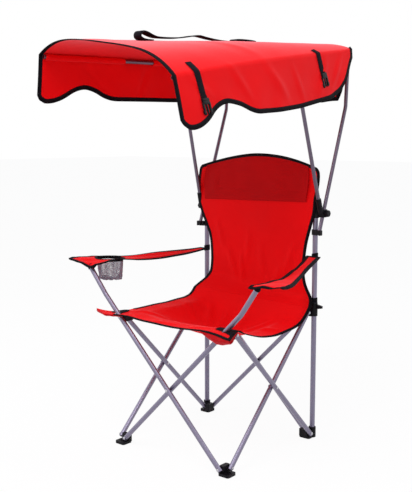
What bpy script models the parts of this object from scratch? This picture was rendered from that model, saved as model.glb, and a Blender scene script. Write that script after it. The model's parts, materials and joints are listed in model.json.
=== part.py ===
"""Canopy folding chair: a steel frame of crossed tubes, a fabric sling seat and a sun canopy.

Metres, +Z up, the chair faces -Y, and +X is the sitter's left hand side. The origin is on the
floor, under the middle of the whole chair. The canopy reaches further forward than back, so the
centre of the four feet lies a little behind that. Every piece is drawn round the centre of the
feet. The four sides of the frame are one side turned by right angles, so a side's tubes and a
corner's foot and hub are drawn once, for the front side and for the front corner at -X, and are
turned into place.
"""
import math

import bmesh
import bpy
from mathutils import Matrix, Vector

# Frame
FEET_CENTRE_Y = 0.0395
CORNER = 0.240
PIVOT_INSET = 0.027
FOOT_PIVOT_HEIGHT = 0.021
HUB_PIVOT_HEIGHT = 0.447
TUBE_RADIUS = 0.008
TUBE_WALL = 0.001
PAIR_GAP = 0.001
TUBE_FOOT_OVERHANG = 0.007
TUBE_HUB_OVERHANG = 0.006
UPRIGHT_RADIUS = 0.009
UPRIGHT_RISE = 0.138
ARM_BEND_X = 0.283
ARM_TIP_X = {-1: 0.358, 1: 0.345}
ARM_TIP_RISE = 0.160
ARM_BEND_RADIUS = 0.060

# Clearances
TOUCH = 0.0003
SLIDE = 0.0005
OVERRUN = 0.004

# Rivets
RIVET_RADIUS = 0.0025
RIVET_HOLE_RADIUS = 0.0028
RIVET_HEAD_RADIUS = 0.0050
RIVET_HEAD_HEIGHT = 0.0020
RIVET_DEPTH = 0.012

# Feet and hubs
PAD_OVERHANG = 0.0085
PAD_INNER = 0.2065
PAD_HEIGHT = 0.009
PAD_CORNER_RADIUS = 0.007
FOOT_BLOCK_INNER = 0.2062
HUB_BLOCK_INNER = 0.200
BLOCK_ROUNDING = 0.0035
FOOT_BLOCK_RISE = 0.0095
SOCKET_WALL = 0.0032
SOCKET_TOP = 0.036
SOCKET_FLOOR = 0.005
WEB_WIDTH = 0.011
HUB_BLOCK_DROP = 0.016
HUB_BLOCK_RISE = 0.0095
COLLAR_WALL = 0.0028
COLLAR_DROP = 0.014
COLLAR_RISE = 0.032
LUG_RISE = 0.019
LUG_REACH = 0.020
LUG_HEIGHT = 0.016
LUG_WIDTH = 0.012

# Canopy rods and their fittings
ROD_RADIUS = 0.0065
ROD_WALL = 0.0008
ROD_X = 0.2635
ROD_BEND_RADIUS = 0.035
KNOB_Y = 0.251
KNOB_HEIGHT = 0.789
FRONT_ROD_OFFSET = 0.0155
FRONT_ROD_LEAN = {"right": 19.1, "left": 13.0}
FRONT_ROD_FOOT_RISE = 0.020
REAR_ROD_LEAN = 20.2
REAR_ROD_TAIL_DROP = 0.064
REAR_ROD_BEND_HEIGHT = 1.15
REAR_ROD_TOP_Y = 0.396
BAR_DROP = 0.0068
BAR_END_INSET = 0.010
BRACKET_DROP = 0.016
BRACKET_RISE = 0.040
BRACKET_WALL = 0.0032
BRACKET_ARM_REAR = 0.266
HINGE_BLOCK_HEIGHT = 0.028
HOLDER_HALF_LENGTH = 0.0125
HOLDER_WALL = 0.0032
SLEEVE_RISE = 0.050
BOLT_RADIUS = 0.0025
BOLT_HOLE_RADIUS = 0.0028
KNOB_RADIUS = 0.0125
KNOB_THICKNESS = 0.014
KNOB_LOBES = 6
KNOB_LOBE_SHARE = 0.12
CLIP_DROP = 0.065
CLIP_DEPTH = 0.018
CLIP_WALL = 0.0030

# Fabric
CLOTH = 0.0020
SEAT_FRONT_ROWS = (-0.262, -0.240, -0.217, -0.194, -0.165, -0.132, -0.100, -0.066, -0.033)
SEAT_REAR_ROW_SHARES = (0.18, 0.36, 0.52, 0.66, 0.78, 0.88, 0.95, 1.0)
SEAT_CORNER_HALF_WIDTH = 0.305
SEAT_HALF_WIDTH = 0.2375
SEAT_TAB_RUN = 0.060
SEAT_LEFT_RISES = ((-0.262, 0.0120), (-0.194, 0.0125), (0.0, 0.011), (0.10, 0.016), (0.133, 0.025), (0.154, 0.048))
SEAT_RIGHT_RISES = ((-0.262, 0.0120), (-0.194, 0.0120), (-0.160, -0.007), (-0.100, -0.027), (-0.058, -0.038),
                    (0.025, -0.047), (0.095, -0.043), (0.133, -0.036), (0.170, -0.017), (0.196, 0.021))
SEAT_SLACK_X = 0.172
SEAT_FRONT_SAG = 0.011
SEAT_MIDDLE_SAG = 0.048
SEAT_HUB_Y = -0.194
SEAT_SPLIT_GAP = 0.0003
BACK_TOP_Y = 0.2293
BACK_FITTING_Y = 0.2252
BACK_FITTING_RISE = 0.046
BACK_FITTING_RUN = 0.026
BACK_TURN = {"left": 0.062, "right": 0.040}
BACK_CORNER_HEIGHT = 0.931
BACK_CROWN = 0.056
BACK_WAIST = 0.597
BACK_LOW_WIDTHS = ((0.460, 0.2390), (0.473, 0.2375), (0.495, 0.2340), (0.520, 0.2190), (0.547, 0.2120),
                   (BACK_WAIST, 0.2050))
BACK_FLARE_SHARE = 0.59
BACK_FLARE_WIDTH = 0.2130
BACK_CLIP_CLEARANCE = 0.0006
BACK_HIGH_WIDTHS = ((0.001, 0.2480), (0.041, 0.2500), (0.081, 0.2545), (0.131, 0.2550), (0.201, 0.2490))
ARMREST_FRONT_Y = -0.270
ARMREST_REAR_Y = 0.2302
ARMREST_INNER_SHARES = {-1: (0.0, 0.25, 0.50, 0.68, 1.0), 1: (0.0, 0.20, 0.50, 0.68, 1.0)}
ARMREST_INNER_X = {-1: (0.325, 0.315, 0.294, 0.262, 0.2255), 1: (0.331, 0.337, 0.302, 0.270, 0.2125)}
ARMREST_OUTER_SHARES = (0.0, 0.10, 0.20, 0.50, 0.75, 1.0)
ARMREST_OUTER_X = {-1: (0.4535, 0.4535, 0.443, 0.366, 0.309, 0.2640), 1: (0.4535, 0.448, 0.427, 0.351, 0.303, 0.268)}
ARMREST_RISE_SHARES = (0.0, 0.26, 0.40, 0.55, 0.78, 1.0)
ARMREST_INNER_RISES = {-1: (-0.005, -0.0008, -0.0062, -0.0092, -0.002, 0.012),
                       1: (-0.0027, -0.0030, -0.0105, -0.0010, 0.0055, 0.0225)}
ARMREST_OUTER_RISES = {-1: (0.010, 0.0044, 0.0012, 0.0020, 0.0095, 0.012),
                       1: (0.009, -0.0035, -0.0070, -0.0080, 0.0045, 0.0235)}
ARMREST_LIFT = 0.0042
CUP_X = 0.372
CUP_Y = -0.140
CUP_RADIUS = 0.0465
CUP_BASE_RADIUS = 0.0425
CUP_DEPTH = 0.078
CUP_WALL = 0.0016

# Canopy
CANOPY_FRONT_Y = -0.522
CANOPY_REAR_Y = 0.405
CANOPY_HALF_WIDTH = 0.2712
CREASE_HEIGHTS = {"right": ((0.0, 1.2090), (0.22, 1.2410), (0.45, 1.2760), (1.0, 1.3470)),
                  "left": ((0.0, 1.295), (1.0, 1.318))}
CANOPY_ARCH = 0.062
CANOPY_REAR_ARCH = 0.035
CANOPY_DOME = 0.010
ARCH_POWER = 3.8
VALANCE_DEPTH = 0.140
VALANCE_DROPS = {
    "right": ((0.0, 0.118), (0.012, 0.138), (0.035, 0.1495), (0.079, 0.150), (0.13, 0.134), (0.173, 0.107),
              (0.216, 0.098), (0.236, 0.100), (0.293, 0.116), (0.34, 0.138), (0.374, 0.1495), (0.498, 0.159),
              (0.628, 0.161), (0.828, 0.153), (0.904, 0.134), (0.951, 0.101), (0.975, 0.060), (1.0, 0.030)),
    "left": ((0.0, 0.122), (0.015, 0.1455), (0.0615, 0.146), (0.111, 0.1326), (0.162, 0.1077), (0.208, 0.0988),
             (0.256, 0.110), (0.299, 0.128), (0.343, 0.137), (0.655, 0.139), (0.85, 0.139), (0.92, 0.128),
             (0.96, 0.095), (0.98, 0.060), (1.0, 0.030))}
CANOPY_ROWS = (0.0, 0.012, 0.035, 0.079, 0.13, 0.173, 0.216, 0.256, 0.299, 0.343, 0.39, 0.45, 0.52, 0.60, 0.68,
               0.76, 0.83, 0.88, 0.92, 0.951, 0.975, 1.0)
FRONT_FLARE = {"right": 0.036, "left": 0.012}
REAR_FLARE = 0.012
REAR_VALANCE_DROPS = ((0.0, 0.205), (0.60, 0.202), (0.857, 0.187), (0.93, 0.140), (1.0, 0.030))
CANOPY_COLUMNS = (-1.0, -0.93, -0.857, -0.714, -0.571, -0.429, -0.286, -0.143, 0.0, 0.143, 0.286, 0.429,
                  0.571, 0.714, 0.857, 0.93, 1.0)
REAR_VALANCE_TAPER = 0.022

# Webbing
STRAP_WIDTH = 0.024
STRAP_THICKNESS = 0.0016
STRAP_LIFT = 0.0024
BUCKLE_WIDTH = 0.036
BUCKLE_THICKNESS = 0.008
STRAP_FIRST_SHARE = 0.08
CREASE_NORMAL = Vector((1.0, 0.0, 0.5))
BUCKLE_LENGTH = 0.044
STRAP_PLACES = {"front": (0.029, -0.428, -0.408, 0.124), "rear": (0.018, 0.182, 0.219, 0.117)}
CARRY_STRAP_WIDTH = 0.030
CARRY_STRAP_X = -0.020
CARRY_STRAP_FRONT = -0.360
CARRY_STRAP_REAR = 0.232
CARRY_STRAP_LOOP = 0.020
CARRY_STRAP_LOOP_SHARE = 0.26

SIDES = 16
ROD_SIDES = 12
RIVET_SIDES = 10
BEND_STEPS = 6

PIVOT = CORNER - PIVOT_INSET
INNER_PLANE = CORNER - TUBE_RADIUS - PAIR_GAP / 2
OUTER_PLANE = CORNER + TUBE_RADIUS + PAIR_GAP / 2
CROSSING_HEIGHT = (FOOT_PIVOT_HEIGHT + HUB_PIVOT_HEIGHT) / 2
ARM_TIP_HEIGHT = HUB_PIVOT_HEIGHT + ARM_TIP_RISE
UPRIGHT_TOP = KNOB_HEIGHT + UPRIGHT_RISE
FRONT_ROD_FOOT_HEIGHT = KNOB_HEIGHT + FRONT_ROD_FOOT_RISE
REAR_ROD_FOOT_HEIGHT = KNOB_HEIGHT - REAR_ROD_TAIL_DROP
BRACKET_LOW = KNOB_HEIGHT - BRACKET_DROP
BRACKET_HIGH = KNOB_HEIGHT + BRACKET_RISE
SLEEVE_TOP = KNOB_HEIGHT + SLEEVE_RISE
CLIP_HEIGHT = KNOB_HEIGHT - CLIP_DROP
BACK_FITTING_TOP = KNOB_HEIGHT + BACK_FITTING_RISE
CLIP_TOP = CLIP_HEIGHT + CLIP_DEPTH / 2
KNOB_LENGTH_ON_ROD = ROD_X + ROD_RADIUS + HOLDER_WALL
BACK_FLARE_HEIGHT = BACK_WAIST + BACK_FLARE_SHARE * (CLIP_TOP - BACK_WAIST)
BACK_CLIP_WIDTH = CORNER - UPRIGHT_RADIUS - CLIP_WALL - BACK_CLIP_CLEARANCE
BACK_HALF_WIDTHS = (*BACK_LOW_WIDTHS, (BACK_FLARE_HEIGHT, BACK_FLARE_WIDTH), (CLIP_TOP, BACK_CLIP_WIDTH),
                    *((KNOB_HEIGHT + rise, width) for rise, width in BACK_HIGH_WIDTHS))


def make_material(name, colour, roughness, metallic=0.0):
    """A plain finish in the real piece's colour."""
    material = bpy.data.materials.new(name)
    material.use_nodes = True
    shader = material.node_tree.nodes["Principled BSDF"]
    shader.inputs["Base Color"].default_value = (*colour, 1.0)
    shader.inputs["Roughness"].default_value = roughness
    shader.inputs["Metallic"].default_value = metallic
    return material


def rounded_path(points, radius):
    """The points of a bent tube's centre line, each inner corner turned into an arc."""
    path = [Vector(points[0])]
    for before, corner, after in zip(points, points[1:], points[2:]):
        before, corner, after = Vector(before), Vector(corner), Vector(after)
        to_before = (before - corner).normalized()
        to_after = (after - corner).normalized()
        half = to_before.angle(to_after) / 2
        setback = radius / math.tan(half)
        centre = corner + (to_before + to_after).normalized() * (radius / math.sin(half))
        start = (corner + to_before * setback - centre).normalized()
        end = (corner + to_after * setback - centre).normalized()
        for step in range(BEND_STEPS + 1):
            path.append(centre + start.slerp(end, step / BEND_STEPS) * radius)
    path.append(Vector(points[-1]))
    return path


def rings_along(path, radius, sides):
    """Circles of points round a centre line that stays in one plane."""
    rings = []
    across = None
    for index, point in enumerate(path):
        ahead = path[min(index + 1, len(path) - 1)] - point
        behind = point - path[max(index - 1, 0)]
        along = (ahead.normalized() + behind.normalized()).normalized()
        if across is None:
            across = along.orthogonal().normalized()
        across = (across - along * across.dot(along)).normalized()
        other = along.cross(across)
        turns = [2 * math.pi * (k + 0.5) / sides for k in range(sides)]
        rings.append([point + (across * math.cos(t) + other * math.sin(t)) * radius for t in turns])
    return rings


def solid_from_rings(rings, closed=False):
    """A closed mesh through rings of points: capped at both ends, or joined last to first."""
    mesh = bmesh.new()
    loops = [[mesh.verts.new(point) for point in ring] for ring in rings]
    pairs = list(zip(loops, loops[1:]))
    if closed:
        pairs.append((loops[-1], loops[0]))
    else:
        mesh.faces.new(loops[0])
        mesh.faces.new(loops[-1])
    for one, two in pairs:
        for k in range(len(one)):
            mesh.faces.new((one[k], one[k - 1], two[k - 1], two[k]))
    bmesh.ops.recalc_face_normals(mesh, faces=mesh.faces)
    return mesh


def hollow_tube(path, radius, wall, sides):
    """A tube with open ends."""
    outside = rings_along(path, radius, sides)
    inside = rings_along(path, radius - wall, sides)
    return solid_from_rings(outside + inside[::-1], closed=True)


def turned(profile, centre, axis, sides):
    """A turned solid: the profile's pairs are a distance along the axis and a radius."""
    centre, axis = Vector(centre), Vector(axis).normalized()
    across = axis.orthogonal().normalized()
    other = axis.cross(across)
    rings = []
    for distance, radius in profile:
        turns = [2 * math.pi * (k + 0.5) / sides for k in range(sides)]
        rings.append([centre + axis * distance + (across * math.cos(t) + other * math.sin(t)) * radius
                      for t in turns])
    return solid_from_rings(rings)


def bar(start, end, radius, sides=RIVET_SIDES):
    """A round bar between two points."""
    start, end = Vector(start), Vector(end)
    return turned(((0, radius), ((end - start).length, radius)), start, end - start, sides)


def box(low, high, rounding=0.0, upright_only=False, segments=2):
    """A box between two corners, its edges rounded."""
    mesh = bmesh.new()
    bmesh.ops.create_cube(mesh, size=1.0)
    low, high = Vector(low), Vector(high)
    for vert in mesh.verts:
        vert.co = Vector(min(a, b) + (c + 0.5) * abs(b - a) for a, b, c in zip(low, high, vert.co))
    if rounding:
        edges = [e for e in mesh.edges
                 if not upright_only or abs((e.verts[0].co - e.verts[1].co).normalized().z) > 0.9]
        bmesh.ops.bevel(mesh, geom=edges, offset=rounding, segments=segments, affect="EDGES", profile=0.5)
    bmesh.ops.recalc_face_normals(mesh, faces=mesh.faces)
    return mesh


def merged(*meshes):
    """Several bodies in one mesh, for a cutter."""
    whole = bmesh.new()
    for mesh in meshes:
        copy = bpy.data.meshes.new("part of a cutter")
        mesh.to_mesh(copy)
        whole.from_mesh(copy)
        bpy.data.meshes.remove(copy)
        mesh.free()
    return whole


def add_object(name, mesh, material, origin=(0, 0, 0), quarter=0, smooth=35):
    """Put a mesh in the scene with its origin at a point, then turn both by right angles about +Z."""
    data = bpy.data.meshes.new(name)
    bmesh.ops.translate(mesh, verts=mesh.verts, vec=-Vector(origin))
    mesh.to_mesh(data)
    mesh.free()
    if smooth:
        data.shade_smooth()
        data.set_sharp_from_angle(angle=math.radians(smooth))
    thing = bpy.data.objects.new(name, data)
    feet_centre = Vector((0, FEET_CENTRE_Y, 0))
    thing.location = feet_centre + Matrix.Rotation(quarter * math.pi / 2, 3, "Z") @ Vector(origin)
    thing.rotation_euler.z = quarter * math.pi / 2
    if material is not None:
        data.materials.append(material)
    bpy.context.scene.collection.objects.link(thing)
    return thing


def shape_with(thing, mesh, operation, quarter=0):
    """Join a mesh to an object, or cut it out, by a Boolean with a hidden helper."""
    helper = add_object(thing.name + "_" + operation.lower(), mesh, None, quarter=quarter, smooth=0)
    helper.hide_render = True
    helper.display_type = "WIRE"
    modifier = thing.modifiers.new(operation.title(), "BOOLEAN")
    modifier.operation = operation
    modifier.object = helper
    modifier.solver = "EXACT"
    return thing


def side_path(to_hub_sign, plane, arm):
    """The centre line of a front side's tube, from its foot up to its hub, and on up an arm post."""
    foot = Vector((-to_hub_sign * PIVOT, -plane, FOOT_PIVOT_HEIGHT))
    hub = Vector((to_hub_sign * PIVOT, -plane, HUB_PIVOT_HEIGHT))
    along = (hub - foot).normalized()
    start = foot - along * TUBE_FOOT_OVERHANG
    if not arm:
        return [start, hub + along * TUBE_HUB_OVERHANG]
    bend = hub + along * ((ARM_BEND_X - PIVOT) / abs(along.x))
    tip = (to_hub_sign * ARM_TIP_X[to_hub_sign], -plane, ARM_TIP_HEIGHT)
    return rounded_path([start, bend, tip], ARM_BEND_RADIUS)


def make_side_tube(name, quarter, outer, material):
    """One of a side's two crossed tubes, drilled for its three rivets."""
    sign = -1 if outer else 1
    plane = OUTER_PLANE if outer else INNER_PLANE
    path = side_path(sign, plane, arm=quarter == 0)
    tube = add_object(name, hollow_tube(path, TUBE_RADIUS, TUBE_WALL, SIDES), material,
                      (-sign * PIVOT, -plane, FOOT_PIVOT_HEIGHT), quarter)
    reach = TUBE_RADIUS + OVERRUN
    places = ((-sign * PIVOT, FOOT_PIVOT_HEIGHT), (0, CROSSING_HEIGHT), (sign * PIVOT, HUB_PIVOT_HEIGHT))
    holes = [bar((x, -plane - reach, z), (x, -plane + reach, z), RIVET_HOLE_RADIUS) for x, z in places]
    return shape_with(tube, merged(*holes), "DIFFERENCE", quarter)


def make_rivet(name, quarter, head_at, axis, length, material, two_heads=False):
    """A rivet whose head's underside is at a point, and whose shank runs along the axis."""
    profile = [(-RIVET_HEAD_HEIGHT, RIVET_HEAD_RADIUS / 2), (-RIVET_HEAD_HEIGHT / 2, RIVET_HEAD_RADIUS * 0.88),
               (0, RIVET_HEAD_RADIUS), (0, RIVET_RADIUS), (length, RIVET_RADIUS)]
    if two_heads:
        profile += [(length, RIVET_HEAD_RADIUS), (length + RIVET_HEAD_HEIGHT / 2, RIVET_HEAD_RADIUS * 0.88),
                    (length + RIVET_HEAD_HEIGHT, RIVET_HEAD_RADIUS / 2)]
    return add_object(name, turned(profile, head_at, axis, RIVET_SIDES), material, head_at, quarter)


def make_crossing_rivet(name, quarter, material):
    """The rivet that holds a side's two tubes together where they cross."""
    outside = -(OUTER_PLANE + TUBE_RADIUS + TOUCH)
    inside = -(INNER_PLANE - TUBE_RADIUS - TOUCH)
    return make_rivet(name, quarter, (0, outside, CROSSING_HEIGHT), (0, 1, 0), inside - outside, material, True)


def make_corner_rivets(names, quarter, height, front_plane, side_plane, material):
    """The two rivets that hold the corner's front tube and side tube to its foot or hub."""
    depth = 2 * TUBE_RADIUS + 2 * TOUCH + RIVET_DEPTH
    front = (-PIVOT, -(front_plane + TUBE_RADIUS + TOUCH), height)
    side = (-(side_plane + TUBE_RADIUS + TOUCH), -PIVOT, height)
    make_rivet(names[0], quarter, front, (0, 1, 0), depth, material)
    make_rivet(names[1], quarter, side, (1, 0, 0), depth, material)


def corner_rivet_holes(height, front_plane, side_plane):
    """The blind holes in a foot or hub for its two rivets."""
    front_face = -(front_plane - TUBE_RADIUS - TOUCH)
    side_face = -(side_plane - TUBE_RADIUS - TOUCH)
    deep = RIVET_DEPTH + 2 * TOUCH
    front = bar((-PIVOT, front_face - OVERRUN, height), (-PIVOT, front_face + deep, height), RIVET_HOLE_RADIUS)
    side = bar((side_face - OVERRUN, -PIVOT, height), (side_face + deep, -PIVOT, height), RIVET_HOLE_RADIUS)
    return [front, side]


def make_foot(name, quarter, socket, material):
    """A moulded foot: a pad, a block that two tubes are riveted to and, at the rear, an upright's socket."""
    side_face = -(OUTER_PLANE - TUBE_RADIUS - TOUCH)
    front_face = -(INNER_PLANE - TUBE_RADIUS - TOUCH)
    top = FOOT_PIVOT_HEIGHT + FOOT_BLOCK_RISE
    corner = CORNER + PAD_OVERHANG
    pad = box((-corner, -corner, 0), (-PAD_INNER, -PAD_INNER, PAD_HEIGHT), PAD_CORNER_RADIUS, True, 3)
    foot = add_object(name, pad, material, (-PIVOT, -PIVOT, FOOT_PIVOT_HEIGHT), quarter)
    block = box((side_face, front_face, PAD_HEIGHT / 2), (-FOOT_BLOCK_INNER, -FOOT_BLOCK_INNER, top),
                BLOCK_ROUNDING, True)
    shape_with(foot, block, "UNION", quarter)
    holes = corner_rivet_holes(FOOT_PIVOT_HEIGHT, INNER_PLANE, OUTER_PLANE)
    if socket:
        column = bar((-CORNER, -CORNER, 0), (-CORNER, -CORNER, SOCKET_TOP),
                     UPRIGHT_RADIUS + SLIDE + SOCKET_WALL, SIDES)
        shape_with(foot, column, "UNION", quarter)
        web = box((side_face + TOUCH, -CORNER + OVERRUN, PAD_HEIGHT / 2),
                  (side_face + WEB_WIDTH, -PIVOT, top - TOUCH))
        shape_with(foot, web, "UNION", quarter)
        holes.append(bar((-CORNER, -CORNER, SOCKET_FLOOR), (-CORNER, -CORNER, SOCKET_TOP + OVERRUN),
                         UPRIGHT_RADIUS + TOUCH, SIDES))
    return shape_with(foot, merged(*holes), "DIFFERENCE", quarter)


def make_hub(name, quarter, sliding, material):
    """A seat corner hub: a block that two tubes are riveted to and, at the rear, a collar on the upright."""
    side_face = -(INNER_PLANE - TUBE_RADIUS - TOUCH)
    front_face = -(OUTER_PLANE - TUBE_RADIUS - TOUCH)
    low = HUB_PIVOT_HEIGHT - HUB_BLOCK_DROP
    high = HUB_PIVOT_HEIGHT + HUB_BLOCK_RISE
    block = box((side_face, front_face, low), (-HUB_BLOCK_INNER, -HUB_BLOCK_INNER, high), BLOCK_ROUNDING, True)
    hub = add_object(name, block, material, (-PIVOT, -PIVOT, HUB_PIVOT_HEIGHT), quarter)
    holes = corner_rivet_holes(HUB_PIVOT_HEIGHT, OUTER_PLANE, INNER_PLANE)
    if sliding:
        bottom, top = HUB_PIVOT_HEIGHT - COLLAR_DROP, HUB_PIVOT_HEIGHT + COLLAR_RISE
        outer = UPRIGHT_RADIUS + SLIDE + COLLAR_WALL
        shape_with(hub, bar((-CORNER, -CORNER, bottom), (-CORNER, -CORNER, top), outer, SIDES), "UNION", quarter)
        web = box((-CORNER + OVERRUN, front_face + TOUCH, low + TOUCH),
                  (-PIVOT, front_face + WEB_WIDTH, high - TOUCH))
        shape_with(hub, web, "UNION", quarter)
        lug_height = HUB_PIVOT_HEIGHT + LUG_RISE
        lug = solid_from_rings([
            [(-CORNER - UPRIGHT_RADIUS, -CORNER + s * LUG_WIDTH / 2, lug_height + t * LUG_HEIGHT / 2)
             for s, t in ((-1, -1), (1, -1), (1, 1), (-1, 1))],
            [(-CORNER - outer - LUG_REACH, -CORNER + s * LUG_WIDTH / 3, lug_height + t * LUG_HEIGHT / 4)
             for s, t in ((-1, -1), (1, -1), (1, 1), (-1, 1))]])
        shape_with(hub, lug, "UNION", quarter)
        holes.append(bar((-CORNER, -CORNER, bottom - OVERRUN), (-CORNER, -CORNER, top + OVERRUN),
                         UPRIGHT_RADIUS + SLIDE, SIDES))
    return shape_with(hub, merged(*holes), "DIFFERENCE", quarter)


def make_frame(steel, plastic, rivet):
    """The feet, hubs, crossed tubes, rivets and the two uprights."""
    corners = ("front_left", "front_right", "rear_right", "rear_left")
    tubes = (("front_tube_left_foot", "front_tube_right_foot"), ("right_tube_front_foot", "right_tube_rear_foot"),
             ("rear_tube_right_foot", "rear_tube_left_foot"), ("left_tube_rear_foot", "left_tube_front_foot"))
    for quarter, corner in enumerate(corners):
        rear = quarter > 1
        make_foot("foot_" + corner, quarter, rear, plastic)
        make_hub("hub_" + corner, quarter, rear, plastic)
        make_side_tube(tubes[quarter][0], quarter, False, steel)
        make_side_tube(tubes[quarter][1], quarter, True, steel)
        make_crossing_rivet("rivet_crossing_" + ("front", "right", "rear", "left")[quarter], quarter, rivet)
        make_corner_rivets(["rivet_foot_" + corner + end for end in ("_a", "_b")], quarter,
                           FOOT_PIVOT_HEIGHT, INNER_PLANE, OUTER_PLANE, rivet)
        make_corner_rivets(["rivet_hub_" + corner + end for end in ("_a", "_b")], quarter,
                           HUB_PIVOT_HEIGHT, OUTER_PLANE, INNER_PLANE, rivet)
    for name, quarter in (("upright_right", 2), ("upright_left", 3)):
        path = [Vector((-CORNER, -CORNER, SOCKET_FLOOR + TOUCH)), Vector((-CORNER, -CORNER, UPRIGHT_TOP))]
        add_object(name, hollow_tube(path, UPRIGHT_RADIUS, TUBE_WALL, SIDES), steel, path[0], quarter)


def value_at(table, place):
    """Read a table of places and values, with a straight run between its points."""
    for (low, one), (high, two) in zip(table, table[1:]):
        if place <= high:
            return one + (two - one) * max(0.0, (place - low) / (high - low))
    return table[-1][1]


def crease_height(side, share):
    """The height of the canopy's side crease, from its front (0) to its rear (1)."""
    return value_at(CREASE_HEIGHTS[side], share)


def canopy_y(share):
    """How far back a share of the canopy's length is."""
    return CANOPY_FRONT_Y + (CANOPY_REAR_Y - CANOPY_FRONT_Y) * share


def canopy_share(y):
    """The share of the canopy's length at a place."""
    return (y - CANOPY_FRONT_Y) / (CANOPY_REAR_Y - CANOPY_FRONT_Y)


def canopy_top(x_share, share):
    """A point of the canopy's top: across from -1 to 1, and from the front (0) to the rear (1)."""
    level = (crease_height("left", share) * (1 - x_share) + crease_height("right", share) * (1 + x_share)) / 2
    arch = CANOPY_ARCH + (CANOPY_REAR_ARCH - CANOPY_ARCH) * share + CANOPY_DOME * math.sin(math.pi * share)
    lift = arch * (1 - abs(x_share) ** ARCH_POWER)
    return Vector((x_share * CANOPY_HALF_WIDTH, canopy_y(share), level + lift))


def canopy_side(side, depth_share, share):
    """A point of a side valance, from its crease (0) to its hem (1)."""
    sign = 1 if side == "right" else -1
    drop = value_at(VALANCE_DROPS[side], share) * depth_share
    flare = (FRONT_FLARE[side] * (1 - share) + REAR_FLARE * share) * drop / VALANCE_DEPTH
    return Vector((sign * (CANOPY_HALF_WIDTH + flare), canopy_y(share), crease_height(side, share) - drop))


def canopy_rear(x_share, depth_share):
    """A point of the rear valance, from the top's rear edge (0) to its hem (1)."""
    edge = canopy_top(x_share, 1.0)
    hem_share = x_share * (1 - REAR_VALANCE_TAPER * depth_share / CANOPY_HALF_WIDTH)
    drop = value_at(REAR_VALANCE_DROPS, abs(x_share)) * depth_share
    return Vector((hem_share * CANOPY_HALF_WIDTH, edge.y + REAR_FLARE * depth_share, edge.z - drop))


def add_grid(mesh, rows):
    """Add rows of points to a mesh as a sheet of four-sided faces."""
    verts = [[mesh.verts.new(point) for point in row] for row in rows]
    for one, two in zip(verts, verts[1:]):
        for k in range(len(one) - 1):
            mesh.faces.new((one[k], one[k + 1], two[k + 1], two[k]))


def sheet_object(name, grids, material, origin=(0, 0, 0)):
    """A piece of cloth: sheets of points, joined along shared edges and given the cloth's thickness."""
    mesh = bmesh.new()
    for rows in grids:
        add_grid(mesh, rows)
    bmesh.ops.remove_doubles(mesh, verts=mesh.verts, dist=TOUCH / 10)
    bmesh.ops.recalc_face_normals(mesh, faces=mesh.faces)
    thing = add_object(name, mesh, material, origin)
    solidify = thing.modifiers.new("Cloth", "SOLIDIFY")
    solidify.thickness = CLOTH
    solidify.offset = 0.0
    solidify.use_even_offset = True
    return thing


def shares(count, low=0.0, high=1.0):
    """Even steps from low to high."""
    return [low + (high - low) * k / count for k in range(count + 1)]


def make_canopy(material):
    """The sun canopy: an arched top, two side valances with a scalloped hem and a rear valance."""
    top = [[canopy_top(x, s) for x in CANOPY_COLUMNS] for s in CANOPY_ROWS]
    grids = [top, [[canopy_rear(x, d) for x in CANOPY_COLUMNS] for d in shares(3)]]
    for side in ("left", "right"):
        grids.append([[canopy_side(side, d, s) for d in shares(3)] for s in CANOPY_ROWS])
    return sheet_object("canopy", grids, material)


def rod_line(lean, height, at_y):
    """A rod's place in the side view, leaning by an angle from the vertical at the knob's height."""
    return at_y + (height - KNOB_HEIGHT) * math.tan(math.radians(lean))


def bar_height(side, y):
    """The height of a canopy rod's centre under the crease."""
    return crease_height(side, canopy_share(y)) - BAR_DROP


def front_rod_points(side, x):
    """A front rod's corners: its foot, its bend under the crease and its front end."""
    lean = -FRONT_ROD_LEAN[side]
    start_y = KNOB_Y - FRONT_ROD_OFFSET
    bend_y = start_y
    for _ in range(20):
        bend_y = rod_line(lean, bar_height(side, bend_y), start_y)
    end_y = CANOPY_FRONT_Y + BAR_END_INSET
    foot = Vector((x, rod_line(lean, FRONT_ROD_FOOT_HEIGHT, start_y), FRONT_ROD_FOOT_HEIGHT))
    return [foot, Vector((x, bend_y, bar_height(side, bend_y))), Vector((x, end_y, bar_height(side, end_y)))]


def rear_rod_points(side, x):
    """A rear rod's corners: its tail in the clip, its bend and its top under the canopy's corner."""
    tail = Vector((x, rod_line(REAR_ROD_LEAN, REAR_ROD_FOOT_HEIGHT, KNOB_Y), REAR_ROD_FOOT_HEIGHT))
    bend = Vector((x, rod_line(REAR_ROD_LEAN, REAR_ROD_BEND_HEIGHT, KNOB_Y), REAR_ROD_BEND_HEIGHT))
    return [tail, bend, Vector((x, REAR_ROD_TOP_Y, bar_height(side, REAR_ROD_TOP_Y)))]


def make_rods(side, sign, pivot, steel):
    """The two canopy rods of one side. The rear rod is drilled for the knob's bolt."""
    x = sign * ROD_X
    front = rounded_path(front_rod_points(side, x), ROD_BEND_RADIUS)
    add_object("front_canopy_rod_" + side, hollow_tube(front, ROD_RADIUS, ROD_WALL, ROD_SIDES), steel, pivot)
    rear = rounded_path(rear_rod_points(side, x), ROD_BEND_RADIUS)
    rod = add_object("rear_canopy_rod_" + side, hollow_tube(rear, ROD_RADIUS, ROD_WALL, ROD_SIDES), steel, pivot)
    reach = Vector((ROD_RADIUS + OVERRUN, 0, 0))
    shape_with(rod, bar(Vector(pivot) - reach, Vector(pivot) + reach, BOLT_HOLE_RADIUS), "DIFFERENCE")


def upright_ring(sign, low, high, wall):
    """A ring that clamps round an upright, still without its bore."""
    return bar((sign * CORNER, CORNER, low), (sign * CORNER, CORNER, high), UPRIGHT_RADIUS + TOUCH + wall, SIDES)


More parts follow.
